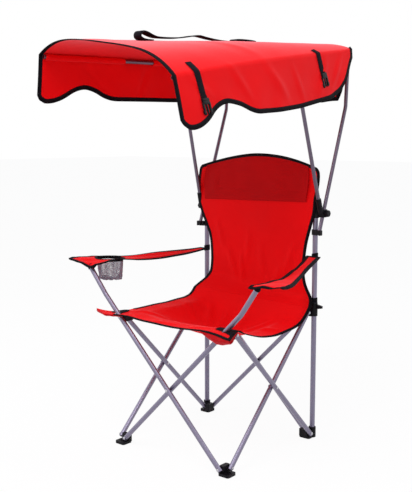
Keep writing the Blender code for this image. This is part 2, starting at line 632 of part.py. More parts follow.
def upright_bore(sign, low, high):
    """The bore of a ring on an upright."""
    return bar((sign * CORNER, CORNER, low - OVERRUN), (sign * CORNER, CORNER, high + OVERRUN),
               UPRIGHT_RADIUS + TOUCH, SIDES)


def make_bracket(side, sign, pivot, material):
    """The bracket clamped round an upright, with an arm that takes the knob's bolt."""
    bracket = add_object("canopy_bracket_" + side, upright_ring(sign, BRACKET_LOW, BRACKET_HIGH, BRACKET_WALL),
                         material, (sign * CORNER, CORNER, BRACKET_LOW))
    face = ROD_X - ROD_RADIUS - HOLDER_WALL + TOUCH
    half = HINGE_BLOCK_HEIGHT / 2
    arm = box((sign * CORNER, CORNER, KNOB_HEIGHT - half),
              (sign * (face - 2 * TOUCH), BRACKET_ARM_REAR, KNOB_HEIGHT + half), BLOCK_ROUNDING / 2)
    shape_with(bracket, arm, "UNION")
    bolt = bar((sign * CORNER, KNOB_Y, KNOB_HEIGHT), (sign * (face + OVERRUN), KNOB_Y, KNOB_HEIGHT),
               BOLT_HOLE_RADIUS)
    shape_with(bracket, upright_bore(sign, BRACKET_LOW, BRACKET_HIGH), "DIFFERENCE")
    shape_with(bracket, bolt, "DIFFERENCE")


def make_holder(side, sign, pivot, material):
    """The moulded holder on the bracket's bolt: a socket for the front rod, and a bore for the rear rod."""
    x = sign * ROD_X
    half_x, half_z = ROD_RADIUS + HOLDER_WALL, HINGE_BLOCK_HEIGHT / 2 - TOUCH
    inner, outer = sign * (ROD_X - half_x + TOUCH), sign * (ROD_X + half_x - TOUCH)
    block = box((inner, KNOB_Y - HOLDER_HALF_LENGTH, KNOB_HEIGHT - half_z),
                (outer, KNOB_Y + HOLDER_HALF_LENGTH, KNOB_HEIGHT + half_z), BLOCK_ROUNDING / 2)
    holder = add_object("rod_holder_" + side, block, material, pivot)
    lean = -FRONT_ROD_LEAN[side]
    start_y = KNOB_Y - FRONT_ROD_OFFSET
    foot = Vector((x, rod_line(lean, KNOB_HEIGHT, start_y), KNOB_HEIGHT))
    floor = Vector((x, rod_line(lean, FRONT_ROD_FOOT_HEIGHT - TOUCH, start_y), FRONT_ROD_FOOT_HEIGHT - TOUCH))
    top = Vector((x, rod_line(lean, SLEEVE_TOP, start_y), SLEEVE_TOP))
    shape_with(holder, bar(foot, top, half_x - TOUCH, SIDES), "UNION")
    up = (top - foot).normalized() * OVERRUN
    tail, bend, _ = rear_rod_points(side, x)
    slope = (bend - tail).normalized() * HINGE_BLOCK_HEIGHT
    shape_with(holder, bar(floor, top + up, ROD_RADIUS + TOUCH, SIDES), "DIFFERENCE")
    shape_with(holder, bar(Vector(pivot) - slope, Vector(pivot) + slope, ROD_RADIUS + TOUCH, SIDES), "DIFFERENCE")
    bolt = bar((sign * (ROD_X - half_x - OVERRUN), KNOB_Y, KNOB_HEIGHT),
               (sign * (ROD_X + half_x + OVERRUN), KNOB_Y, KNOB_HEIGHT), BOLT_HOLE_RADIUS)
    shape_with(holder, bolt, "DIFFERENCE")


def make_knob(side, sign, pivot, material):
    """The lobed knob and its bolt, which runs through the holder and the rear rod into the bracket."""
    inner = KNOB_LENGTH_ON_ROD
    count = KNOB_LOBES * 4
    rings = []
    for distance, scale in ((0, 0.9), (KNOB_THICKNESS * 0.2, 1.0), (KNOB_THICKNESS * 0.75, 1.0),
                            (KNOB_THICKNESS, 0.8)):
        ring = []
        for k in range(count):
            turn = 2 * math.pi * k / count
            radius = KNOB_RADIUS * scale * (1 - KNOB_LOBE_SHARE * (1 - math.cos(KNOB_LOBES * turn)) / 2)
            ring.append((sign * (inner + distance), KNOB_Y + radius * math.cos(turn),
                         KNOB_HEIGHT + radius * math.sin(turn)))
        rings.append(ring)
    knob = add_object("canopy_knob_" + side, solid_from_rings(rings), material, pivot)
    bolt_end = CORNER + UPRIGHT_RADIUS
    bolt = bar((sign * bolt_end, KNOB_Y, KNOB_HEIGHT), (sign * (inner + KNOB_THICKNESS / 2), KNOB_Y, KNOB_HEIGHT),
               BOLT_RADIUS)
    shape_with(knob, bolt, "UNION")


def make_lower_clip(side, sign, material):
    """The clip on the upright that the rear rod's tail snaps into, open to the rear."""
    low, high = CLIP_TOP - CLIP_DEPTH, CLIP_TOP
    clip = add_object("rod_clip_" + side, upright_ring(sign, low, high, BRACKET_WALL), material,
                      (sign * CORNER, CORNER, low))
    tail_y = rod_line(REAR_ROD_LEAN, CLIP_HEIGHT, KNOB_Y)
    half = ROD_RADIUS + CLIP_WALL
    jaw = box((sign * (ROD_X - half), tail_y - half, low), (sign * (ROD_X + half), tail_y + ROD_RADIUS, high),
              BLOCK_ROUNDING / 2)
    shape_with(clip, jaw, "UNION")
    bridge = box((sign * (CORNER + UPRIGHT_RADIUS / 2), tail_y - half / 2, low + TOUCH),
                 (sign * (ROD_X - ROD_RADIUS), CORNER - TOUCH, high - TOUCH))
    shape_with(clip, bridge, "UNION")
    tail, bend, _ = rear_rod_points(side, sign * ROD_X)
    slope = (bend - tail).normalized()
    centre = Vector((sign * ROD_X, tail_y, CLIP_HEIGHT))
    shape_with(clip, bar(centre - slope * CLIP_DEPTH, centre + slope * CLIP_DEPTH, ROD_RADIUS + TOUCH, SIDES),
               "DIFFERENCE")
    mouth = box((sign * (ROD_X - ROD_RADIUS - TOUCH), tail_y, low - OVERRUN),
                (sign * (ROD_X + ROD_RADIUS + TOUCH), tail_y + half + OVERRUN, high + OVERRUN))
    shape_with(clip, mouth, "DIFFERENCE")
    shape_with(clip, upright_bore(sign, low, high), "DIFFERENCE")


def make_canopy_frame(steel, plastic):
    """The brackets, rod holders, rods, knobs and clips of both sides."""
    for side, sign in (("left", -1), ("right", 1)):
        pivot = (sign * ROD_X, KNOB_Y, KNOB_HEIGHT)
        make_bracket(side, sign, pivot, plastic)
        make_holder(side, sign, pivot, plastic)
        make_rods(side, sign, pivot, steel)
        make_knob(side, sign, pivot, plastic)
        make_lower_clip(side, sign, plastic)


def between(left, right, x_share):
    """A value that runs from the left edge's (-1) to the right edge's (1)."""
    return (left * (1 - x_share) + right * (1 + x_share)) / 2


def seat_point(x_share, y_left, y_right):
    """A point of the seat, on the line across it that ends at these places on its two side edges."""
    y = between(y_left, y_right, x_share)
    tab = max(0.0, 1 - (y - SEAT_FRONT_ROWS[0]) / SEAT_TAB_RUN) ** 1.5
    x = x_share * (SEAT_HALF_WIDTH + (SEAT_CORNER_HALF_WIDTH - SEAT_HALF_WIDTH) * tab)
    rise = between(value_at(SEAT_LEFT_RISES, y_left), value_at(SEAT_RIGHT_RISES, y_right), x_share)
    slack = max(0.0, 1 - (x / SEAT_SLACK_X) ** 2)
    rear = between(SEAT_LEFT_RISES[-1][0], SEAT_RIGHT_RISES[-1][0], x_share)
    along = max(0.0, (y - SEAT_HUB_Y) / (rear - SEAT_HUB_Y))
    belly = max(0.0, math.sin(math.pi * min(1.0, along))) ** 0.8
    front = max(0.0, 1 - (y - SEAT_FRONT_ROWS[0]) / abs(SEAT_FRONT_ROWS[0]))
    sag = slack * (SEAT_MIDDLE_SAG * belly + SEAT_FRONT_SAG * front)
    return Vector((x, y, HUB_PIVOT_HEIGHT + rise - sag))


def back_point(x_share, share):
    """A point of the back: across from -1 to 1, and from its bottom (0) to its top (1)."""
    low_y = between(SEAT_LEFT_RISES[-1][0], SEAT_RIGHT_RISES[-1][0], x_share)
    seat_rise = between(SEAT_LEFT_RISES[-1][1], SEAT_RIGHT_RISES[-1][1], x_share)
    low = HUB_PIVOT_HEIGHT + seat_rise + SEAT_SPLIT_GAP + CLOTH
    top = BACK_CORNER_HEIGHT + BACK_CROWN * (1 - x_share * x_share)
    height = low + (top - low) * share
    lean = max(0.0, 1 - (height - low) / between(BACK_TURN["left"], BACK_TURN["right"], x_share))
    rise = min(1.0, max(0.0, (height - BACK_FITTING_TOP) / BACK_FITTING_RUN))
    y = BACK_FITTING_Y + (BACK_TOP_Y - BACK_FITTING_Y) * rise - (BACK_FITTING_Y - low_y) * lean ** 2
    return Vector((x_share * value_at(BACK_HALF_WIDTHS, height), y, height))


def make_sling(material):
    """The seat, cut across its middle where it folds, and the back."""
    across = shares(14, -1.0, 1.0)
    gap = SEAT_SPLIT_GAP / 2
    rows = [(y, y) for y in SEAT_FRONT_ROWS] + [(-gap, -gap)]
    front = [[seat_point(x, one, two) for x in across] for one, two in rows]
    ends = (SEAT_LEFT_RISES[-1][0], SEAT_RIGHT_RISES[-1][0])
    rows = [(gap, gap)] + [(share * ends[0], share * ends[1]) for share in SEAT_REAR_ROW_SHARES]
    rear = [[seat_point(x, one, two) for x in across] for one, two in rows]
    seat = sheet_object("seat_front", [front], material, (0, -PIVOT, HUB_PIVOT_HEIGHT))
    posts = []
    for sign, plane in ((1, INNER_PLANE), (-1, OUTER_PLANE)):
        path = side_path(sign, plane, arm=True)
        posts.append(solid_from_rings(rings_along(path, TUBE_RADIUS + 2 * TOUCH, SIDES)))
    shape_with(seat, merged(*posts), "DIFFERENCE")
    sheet_object("seat_rear", [rear], material, (0, PIVOT, HUB_PIVOT_HEIGHT))
    back = [[back_point(x, s) for x in across] for s in shares(18)]
    sheet_object("back", [back], material)


def armrest_point(sign, x_share, share):
    """A point of an armrest: from its inner edge (0) to its outer (1), and from the front (0) to the rear (1)."""
    inner = value_at(list(zip(ARMREST_INNER_SHARES[sign], ARMREST_INNER_X[sign])), share)
    outer = value_at(list(zip(ARMREST_OUTER_SHARES, ARMREST_OUTER_X[sign])), share)
    x = inner + (outer - inner) * x_share
    y = ARMREST_FRONT_Y + (ARMREST_REAR_Y - ARMREST_FRONT_Y) * share
    on_tip = ARM_TIP_HEIGHT + TUBE_RADIUS * math.cos(math.pi / 4) + CLOTH / 2 + ARMREST_LIFT
    inner_rise = value_at(list(zip(ARMREST_RISE_SHARES, ARMREST_INNER_RISES[sign])), share)
    outer_rise = value_at(list(zip(ARMREST_RISE_SHARES, ARMREST_OUTER_RISES[sign])), share)
    return Vector((sign * x, y, on_tip + inner_rise + (outer_rise - inner_rise) * x_share))


def make_armrests(material, mesh_material):
    """The two fabric armrests, and the mesh cup holder that hangs in the left one."""
    for side, sign, plane in (("left", -1, OUTER_PLANE), ("right", 1, INNER_PLANE)):
        rows = [[armrest_point(sign, x, s) for x in shares(6)] for s in shares(14)]
        armrest = sheet_object("armrest_" + side, [rows], material,
                               (sign * ARM_TIP_X[sign], -plane, ARM_TIP_HEIGHT))
        if side == "left":
            top = ARM_TIP_HEIGHT + CUP_RADIUS
            hole = bar((-CUP_X, CUP_Y, ARM_TIP_HEIGHT - CUP_RADIUS), (-CUP_X, CUP_Y, top),
                       CUP_RADIUS + TOUCH, 2 * SIDES)
            shape_with(armrest, hole, "DIFFERENCE")
    rim = armrest_point(-1, 0.5, armrest_share(CUP_Y)).z + CLOTH
    base = rim - CUP_DEPTH
    profile = ((rim, CUP_RADIUS), (base + CUP_WALL, CUP_BASE_RADIUS + CUP_WALL / 2), (base, CUP_BASE_RADIUS),
               (base + CUP_WALL, CUP_BASE_RADIUS - 2 * CUP_WALL), (rim, CUP_RADIUS - CUP_WALL))
    rings = [[(-CUP_X + radius * math.cos(t), CUP_Y + radius * math.sin(t), height)
              for t in [2 * math.pi * (k + 0.5) / (2 * SIDES) for k in range(2 * SIDES)]]
             for height, radius in profile]
    add_object("cup_holder", cup_from_rings(rings), mesh_material, (-CUP_X, CUP_Y, rim))


def armrest_share(y):
    """The share of an armrest's length at a place."""
    return (y - ARMREST_FRONT_Y) / (ARMREST_REAR_Y - ARMREST_FRONT_Y)


def cup_from_rings(rings):
    """A bag: the rings run down the outside, across under the base and up the inside to the rim."""
    mesh = bmesh.new()
    loops = [[mesh.verts.new(point) for point in ring] for ring in rings]
    pairs = [(0, 1), (1, 2), (3, 4), (4, 0)]
    for one, two in pairs:
        for k in range(len(loops[0])):
            mesh.faces.new((loops[one][k], loops[one][k - 1], loops[two][k - 1], loops[two][k]))
    mesh.faces.new(loops[2])
    mesh.faces.new(loops[3])
    bmesh.ops.recalc_face_normals(mesh, faces=mesh.faces)
    return mesh


def strap_solid(path, normals, half_widths, thicknesses, across):
    """A flat strip along a path, which may grow wider and thicker at its end."""
    rings = []
    for point, normal, half, thick in zip(path, normals, half_widths, thicknesses):
        side = across * half
        rings.append([point - side, point + side, point + side + normal * thick, point - side + normal * thick])
    return solid_from_rings(rings)


def canopy_normal(point_of, a, b, step=0.002):
    """The outward direction of the canopy's cloth, from a point and its two neighbours."""
    here = point_of(a, b)
    one = point_of(a, b + step) - here
    two = point_of(a + step, b) - here
    normal = one.cross(two).normalized()
    return normal if normal.z + normal.x > 0 else -normal


def make_side_strap(name, run, start_y, end_y, drop, material):
    """A strap sewn over the right crease, with its buckle half hanging at the end."""
    length = run + drop
    lift = CLOTH / 2 + STRAP_LIFT
    path, normals = [], []
    for part in shares(4):
        share = canopy_share(start_y + (end_y - start_y) * part * run / length)
        x_share = 1 - (1 - part) * run / CANOPY_HALF_WIDTH
        normal = canopy_normal(canopy_top, x_share, share) if part < 1.0 else CREASE_NORMAL.normalized()
        path.append(canopy_top(x_share, share) + normal * lift)
        normals.append(normal)
    cloth_end = drop - BUCKLE_LENGTH
    for down in (drop * STRAP_FIRST_SHARE, cloth_end / 2, cloth_end, cloth_end + BUCKLE_THICKNESS / 2, drop):
        share = canopy_share(start_y + (end_y - start_y) * (run + down) / length)
        depth = down / value_at(VALANCE_DROPS["right"], share)
        normal = canopy_normal(lambda a, b: canopy_side("right", a, b), depth, share)
        path.append(canopy_side("right", depth, share) + normal * lift)
        normals.append(normal)
    wide = [STRAP_WIDTH / 2] * (len(path) - 2) + [BUCKLE_WIDTH / 2] * 2
    thick = [STRAP_THICKNESS] * (len(path) - 2) + [BUCKLE_THICKNESS] * 2
    add_object(name, strap_solid(path, normals, wide, thick, Vector((0, 1, 0))), material)


def make_carry_strap(material):
    """The carrying strap sewn along the canopy's top, with a raised loop towards the front."""
    x_share = CARRY_STRAP_X / CANOPY_HALF_WIDTH
    path, normals = [], []
    for part in shares(20):
        y = CARRY_STRAP_FRONT + (CARRY_STRAP_REAR - CARRY_STRAP_FRONT) * part
        share = canopy_share(y)
        normal = canopy_normal(canopy_top, x_share, share)
        hump = CARRY_STRAP_LOOP * max(0.0, math.sin(math.pi * min(1.0, part / CARRY_STRAP_LOOP_SHARE))) ** 2
        path.append(canopy_top(x_share, share) + normal * (CLOTH / 2 + STRAP_LIFT + hump))
        normals.append(normal)
    count = len(path)
    add_object("carry_strap", strap_solid(path, normals, [CARRY_STRAP_WIDTH / 2] * count,
                                          [2 * STRAP_THICKNESS] * count, Vector((1, 0, 0))), material)


def main():
    """Clear the scene and build the chair."""
    for thing in list(bpy.data.objects):
        bpy.data.objects.remove(thing)
    steel = make_material("grey enamelled steel tube", (0.36, 0.34, 0.40), 0.35, 0.8)
    plastic = make_material("black moulded plastic", (0.012, 0.011, 0.014), 0.45)
    rivet = make_material("plated rivet", (0.60, 0.60, 0.62), 0.3, 0.9)
    red = make_material("red woven polyester", (0.72, 0.012, 0.016), 0.75)
    net = make_material("grey mesh", (0.36, 0.34, 0.40), 0.8)
    webbing = make_material("black webbing", (0.012, 0.010, 0.016), 0.8)
    make_frame(steel, plastic, rivet)
    make_canopy_frame(steel, plastic)
    make_sling(red)
    make_armrests(red, net)
    make_canopy(red)
    for place, sizes in STRAP_PLACES.items():
        make_side_strap("canopy_strap_" + place, *sizes, webbing)
    make_carry_strap(webbing)


main()
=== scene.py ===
import json
from math import copysign, cos, exp, hypot, pi, radians, sin

import bmesh
import bpy
from mathutils import Matrix, Vector, noise


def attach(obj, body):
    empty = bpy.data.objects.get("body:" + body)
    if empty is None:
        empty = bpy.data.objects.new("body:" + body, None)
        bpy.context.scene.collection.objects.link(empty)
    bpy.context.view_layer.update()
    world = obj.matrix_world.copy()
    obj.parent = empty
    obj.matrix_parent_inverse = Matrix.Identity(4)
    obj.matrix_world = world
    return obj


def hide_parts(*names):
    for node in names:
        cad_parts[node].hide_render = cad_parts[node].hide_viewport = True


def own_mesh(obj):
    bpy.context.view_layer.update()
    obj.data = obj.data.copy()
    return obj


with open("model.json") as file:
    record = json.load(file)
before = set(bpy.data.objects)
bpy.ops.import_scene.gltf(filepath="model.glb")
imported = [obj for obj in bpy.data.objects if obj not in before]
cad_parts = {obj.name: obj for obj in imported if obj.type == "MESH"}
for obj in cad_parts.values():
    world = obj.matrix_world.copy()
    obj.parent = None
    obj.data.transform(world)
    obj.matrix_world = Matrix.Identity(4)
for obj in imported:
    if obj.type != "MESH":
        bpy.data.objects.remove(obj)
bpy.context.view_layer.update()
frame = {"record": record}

scene = bpy.context.scene
scene.view_settings.view_transform = "Standard"


# Studio. The chair stands on a pale floor under one large soft lamp, with two more at its side and
# behind it that open the shadows. The camera stands where the photographer stood, a little above
# the seat and to the right of the chair's front.
CAMERA_PLACE = (1.8187, -2.2073, 1.0503)
CAMERA_AZIMUTH = 39.695
CAMERA_PITCH = 7.298
CAMERA_LENS = 75.15
CAMERA_SENSOR = 36.0
FLOOR_REACH = 60.0
WORLD_COLOUR = "#F4F4F8"
FLOOR_COLOUR = "#F3F3F5"
WORLD_LIGHT = 0.62
FLOOR_GLOW = 0.94
LAMPS = (
    ("key_lamp", (0.4, -1.9, 3.3), (0.0, 0.0, 0.8), 2.0, 68.0), ("side_lamp", (-2.8, -1.6, 1.6),
    (0.0, 0.0, 0.7), 1.8, 22.0), ("rear_lamp", (1.9, 2.4, 2.6), (0.0, 0.0, 1.0), 1.6, 20.0), )


def srgb(code):
    """Turn an sRGB hex colour into the linear one that a shader reads."""
    parts = [int(code[k:k + 2], 16) / 255 for k in (1, 3, 5)]
    return (*[c / 12.92 if c <= 0.04045 else ((c + 0.055) / 1.055) ** 2.4 for c in parts], 1.0)


def add_node(tree, kind, inputs=None, **choices):
    """Add a node with its choices. An input is a value, a hex colour, or the node or output linked to it."""
    node = tree.nodes.new("ShaderNode" + kind)
    for name, value in choices.items():
        setattr(node, name, value)
    for name, value in (inputs or {}).items():
        if isinstance(value, bpy.types.Node):
            value = value.outputs[0]
        if isinstance(value, bpy.types.NodeSocket):
            tree.links.new(value, node.inputs[name])
        else:
            node.inputs[name].default_value = srgb(value) if isinstance(value, str) else value
    return node


def new_material(name):
    """A material with no nodes yet but its coordinates, its node tree, and those coordinates."""
    material = bpy.data.materials.new(name)
    material.use_nodes = True
    tree = material.node_tree
    tree.nodes.clear()
    return material, tree, add_node(tree, "TexCoord").outputs


def seen_directly(tree):
    """1 for what the camera, a mirror or glass looks at, and 0 for light that falls on the chair."""
    rays = add_node(tree, "LightPath").outputs
    most = add_node(tree, "Math", {0: rays["Is Camera Ray"], 1: rays["Is Glossy Ray"]}, operation="MAXIMUM")
    return add_node(tree, "Math", {0: most, 1: rays["Is Transmission Ray"]}, operation="MAXIMUM")


world = bpy.data.worlds.new("studio")
scene.world = world
world.use_nodes = True
tree = world.node_tree
tree.nodes.clear()
soft_light = add_node(tree, "Background", {"Color": WORLD_COLOUR, "Strength": WORLD_LIGHT})
white = add_node(tree, "Background", {"Color": "#FFFFFF", "Strength": 1.0})
mixed = add_node(tree, "MixShader", {0: seen_directly(tree), 1: soft_light, 2: white})
add_node(tree, "OutputWorld", {"Surface": mixed})

bpy.ops.mesh.primitive_plane_add(size=FLOOR_REACH, location=(0.0, 0.0, 0.0))
floor = bpy.context.active_object
floor.name = "studio_floor"
material, tree, _ = new_material("studio_floor_paint")
paint = add_node(tree, "BsdfDiffuse", {"Color": FLOOR_COLOUR})
glow = add_node(tree, "Emission", {"Color": "#FFFFFF", "Strength": 1.0})
share_of_glow = add_node(tree, "Math", {0: seen_directly(tree), 1: FLOOR_GLOW}, operation="MULTIPLY")
mixed = add_node(tree, "MixShader", {0: share_of_glow, 1: paint, 2: glow})
add_node(tree, "OutputMaterial", {"Surface": mixed})
floor.data.materials.append(material)


def stand(name, data, place, turn):
    """Put a lamp or a camera in its place."""
    thing = bpy.data.objects.new(name, data)
    thing.location = place
    thing.rotation_euler = turn
    scene.collection.objects.link(thing)
    return thing


for name, place, target, size, power in LAMPS:
    lamp = bpy.data.lights.new(name, "AREA")
    lamp.shape = "DISK"
    lamp.size = size
    lamp.energy = power
    stand(name, lamp, place, (Vector(target) - Vector(place)).to_track_quat("-Z", "Y").to_euler())

lens = bpy.data.cameras.new("photographer")
lens.lens = CAMERA_LENS
lens.sensor_width = CAMERA_SENSOR
lens.sensor_fit = "HORIZONTAL"
lens.clip_end = 200.0
camera = stand("photographer", lens, CAMERA_PLACE,
               (radians(90 - CAMERA_PITCH), 0.0, radians(CAMERA_AZIMUTH)))
scene.camera = camera


# Frame tubes, uprights and canopy rods. Drawn steel tube, 16 mm on the frame, 18 mm on the uprights
# and 13 mm on the rods, sprayed with a grey lacquer that has a lilac cast. The coat is thin and even,
# so the tube keeps a soft metal shine, with faint draw lines along it and scuffs from folding. The rods
# are coloured a darker grey, which is painted shade from the canopy over them.
TUBE_GREY = "#89839A"
TUBE_GREY_WORN = "#746E82"
TUBE_SCUFF = "#AAA6B6"
# The rods' greys are darker than the frame's: painted shade from the canopy over them.
ROD_GREY_PAINTED_SHADE = "#6F6678"
ROD_GREY_WORN_PAINTED_SHADE = "#5B5060"

# Every place below is measured from the middle of the four feet, a little behind the chair's own middle.
FEET_CENTRE = Vector((0.0, 0.0395, 0.0))
CORNER = 0.24
PIVOT = 0.213
INNER_PLANE = 0.2315
OUTER_PLANE = 0.2485
FOOT_PIVOT_HEIGHT = 0.021
HUB_PIVOT_HEIGHT = 0.447
TUBE_RADIUS = 0.008
UPRIGHT_RADIUS = 0.009
TUBE_WALL = 0.001
CORNERS = ("front_left", "front_right", "rear_right", "rear_left")
SIDES = (("left", -1), ("right", 1))
SIDE_TUBES = (
    "front_tube_left_foot", "front_tube_right_foot", "right_tube_front_foot", "right_tube_rear_foot",
    "rear_tube_right_foot", "rear_tube_left_foot", "left_tube_rear_foot", "left_tube_front_foot")


def lacquered_steel(name, grey, worn_grey):
    """Drawn steel tube under a thin grey lacquer: a satin metal look with small scuffs."""
    material, tree, coords = new_material(name)
    place = coords["Object"]
    broad = add_node(tree, "TexNoise", {"Vector": place, "Scale": 9.0, "Detail": 3.0})
    colour = add_node(tree, "Mix", {0: broad, 6: worn_grey, 7: grey}, data_type="RGBA")
    scuff = add_node(tree, "TexNoise", {"Vector": place, "Scale": 140.0, "Detail": 4.0, "Roughness": 0.7})
    worn = add_node(tree, "MapRange", {"Value": scuff, "From Min": 0.66, "From Max": 0.74})
    coat = add_node(tree, "Mix", {0: worn, 6: colour.outputs[2], 7: TUBE_SCUFF}, data_type="RGBA")
    gloss = add_node(tree, "MapRange", {"Value": broad, "To Min": 0.3, "To Max": 0.44})
    grain = add_node(tree, "TexNoise", {"Vector": place, "Scale": 900.0, "Detail": 2.0})
    bump = add_node(tree, "Bump", {"Height": grain, "Strength": 0.12, "Distance": 0.0002})
    shader = add_node(tree, "BsdfPrincipled", {
        "Base Color": coat.outputs[2], "Metallic": 0.8, "Roughness": gloss, "Normal": bump,
        "Coat Weight": 0.25, "Coat Roughness": 0.22})
    add_node(tree, "OutputMaterial", {"Surface": shader})
    return material


def dress(node, material):
    """Give a CAD node its finish in every one of its slots."""
    thing = bpy.data.objects[node]
    if not thing.material_slots:
        thing.data.materials.append(material)
    for slot in thing.material_slots:
        slot.material = material


steel = lacquered_steel("lacquered_steel_tube", TUBE_GREY, TUBE_GREY_WORN)
# The rods' finish is darker, as painted shade under the canopy.
rod_steel_painted_shade = lacquered_steel("lacquered_steel_rod_painted_shade", ROD_GREY_PAINTED_SHADE, ROD_GREY_WORN_PAINTED_SHADE)
for node in SIDE_TUBES:
    dress(node, steel)
for side in ("left", "right"):
    dress("upright_" + side, steel)
    for node in ("front_canopy_rod_", "rear_canopy_rod_"):
        dress(node + side, rod_steel_painted_shade)


# Feet, hubs, brackets, holders, knobs and clips. Injection moulded nylon, black, with the fine
# spark-eroded grain of its mould. The grain breaks up the shine, and handling rubs it a little greyer
# in patches. The same nylon makes the plugs in the tubes' ends and the strap buckles.
NYLON_BLACK = "#0D0B10"
NYLON_RUBBED = "#1B181F"
PLUG_DOME = 0.0022
PLUG_DEPTH = 0.006


def moulded_nylon():
    """Black moulded nylon with a fine mould grain, 0.4 mm apart, drawn at 1.5 mm so that it shows."""
    material, tree, coords = new_material("moulded_black_nylon")
    place = coords["Object"]
    grain = add_node(tree, "TexNoise", {"Vector": place, "Scale": 680.0, "Detail": 3.0})
    handled = add_node(tree, "TexNoise", {"Vector": place, "Scale": 55.0, "Detail": 2.0})
    worn = add_node(tree, "MapRange", {"Value": handled, "From Min": 0.45, "From Max": 0.75})
    colour = add_node(tree, "Mix", {0: worn, 6: NYLON_BLACK, 7: NYLON_RUBBED}, data_type="RGBA")
    gloss = add_node(tree, "MapRange", {"Value": grain, "To Min": 0.36, "To Max": 0.56})
    bump = add_node(tree, "Bump", {"Height": grain, "Strength": 0.35, "Distance": 0.0003})
    shader = add_node(tree, "BsdfPrincipled", {
        "Base Color": colour.outputs[2], "Roughness": gloss, "IOR": 1.53, "Specular IOR Level": 0.12,
        "Normal": bump})
    add_node(tree, "OutputMaterial", {"Surface": shader})
    return material


nylon = moulded_nylon()
for corner in CORNERS:
    dress("foot_" + corner, nylon)
    dress("hub_" + corner, nylon)
for side in ("left", "right"):
    for node in ("canopy_bracket_", "rod_holder_", "canopy_knob_", "rod_clip_"):
        dress(node + side, nylon)

bodies = frame["record"]["behaviour"]["bodies"]
body_of_node = {node: body for body, nodes in bodies.items() for node in nodes}


def select_only(piece):
    """Make a piece the one that the next operator works on."""
    bpy.ops.object.select_all(action="DESELECT")
    piece.select_set(True)
    bpy.context.view_layer.objects.active = piece


def finish_moulded(piece, name, body, angle):
    """Put a moulded piece's place into its mesh, smooth it, and let it ride its body."""
    select_only(piece)
    piece.matrix_world = Matrix.Translation(FEET_CENTRE) @ piece.matrix_world
    bpy.ops.object.transform_apply(location=True, rotation=True, scale=True)
    bpy.ops.object.shade_smooth_by_angle(angle=radians(angle))
    piece.name = piece.data.name = name
    piece.data.materials.append(nylon)
    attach(piece, body)
    return piece


def tube_plug(name, end, outward, radius, body):
    """A plug pressed into a tube's end: a low dome that closes it, on a shank inside the bore."""
    depth = PLUG_DOME + PLUG_DEPTH
    bpy.ops.mesh.primitive_cylinder_add(
        vertices=20, radius=radius, depth=depth, location=end + outward * (PLUG_DOME - PLUG_DEPTH) / 2,
        rotation=outward.to_track_quat("Z", "Y").to_euler())
    plug = bpy.context.active_object
    bpy.ops.object.mode_set(mode="EDIT")
    shape = bmesh.from_edit_mesh(plug.data)
    for face in shape.faces:
        face.select = len(face.verts) > 4 and face.normal.z > 0.9
    bmesh.update_edit_mesh(plug.data)
    for share in (0.25, 0.3):
        bpy.ops.mesh.inset(thickness=radius * share)
    bpy.ops.object.mode_set(mode="OBJECT")
    for vert in plug.data.vertices:
        if vert.co.z > 0:
            vert.co.z = depth / 2 - PLUG_DOME * (hypot(vert.co.x, vert.co.y) / radius) ** 2
    return finish_moulded(plug, name, body, 60.0)


SPAN = HUB_PIVOT_HEIGHT - FOOT_PIVOT_HEIGHT
ALONG_TUBE = Vector((2 * PIVOT, SPAN)).normalized()
FOOT_OVERHANG = 0.007
HUB_OVERHANG = 0.006
OUTER_TUBES = ("front_tube_right_foot", "rear_tube_left_foot", "left_tube_front_foot", "right_tube_rear_foot")

for node in SIDE_TUBES:
    side_x, side_y = -1 if "left" in node else 1, -1 if "front" in node else 1
    plane = OUTER_PLANE if node in OUTER_TUBES else INNER_PLANE
    for end, height, reach, sign in (("foot", FOOT_PIVOT_HEIGHT, FOOT_OVERHANG, 1),
                                     ("hub", HUB_PIVOT_HEIGHT, HUB_OVERHANG, -1)):
        if end == "hub" and node.startswith("front"):
            continue
        along = ALONG_TUBE * reach
        level = height - along.y * sign
        if node.startswith(("front", "rear")):
            place = Vector((sign * side_x * (PIVOT + along.x), side_y * plane, level))
            outward = Vector((sign * side_x * ALONG_TUBE.x, 0.0, -sign * ALONG_TUBE.y))
        else:
            place = Vector((side_x * plane, sign * side_y * (PIVOT + along.x), level))
            outward = Vector((0.0, sign * side_y * ALONG_TUBE.x, -sign * ALONG_TUBE.y))
        tube_plug("plug_" + node + "_" + end, place, outward, TUBE_RADIUS - TUBE_WALL, body_of_node[node])


# Rivets. Zinc plated steel, one through each crossing and two at each foot and hub. Their domed
# heads are the only bright metal on the chair, and look pale against the black corners.
ZINC = "#C9C8CE"
ZINC_DULL = "#A6A5AD"


def zinc_plate():
    """Bright zinc on pressed steel, a little cloudy where the plating is uneven."""
    material, tree, coords = new_material("zinc_plated_rivet")
    place = coords["Object"]
    cloud = add_node(tree, "TexNoise", {"Vector": place, "Scale": 300.0, "Detail": 2.0})
    colour = add_node(tree, "Mix", {0: cloud, 6: ZINC_DULL, 7: ZINC}, data_type="RGBA")
    gloss = add_node(tree, "MapRange", {"Value": cloud, "To Min": 0.22, "To Max": 0.38})
    shader = add_node(tree, "BsdfPrincipled", {
        "Base Color": colour.outputs[2], "Metallic": 1.0, "Roughness": gloss})
    add_node(tree, "OutputMaterial", {"Surface": shader})
    return material


zinc = zinc_plate()
for corner in CORNERS:
    for place in ("foot_", "hub_"):
        for end in ("_a", "_b"):
            dress("rivet_" + place + corner + end, zinc)
for side in ("front", "right", "rear", "left"):
    dress("rivet_crossing_" + side, zinc)


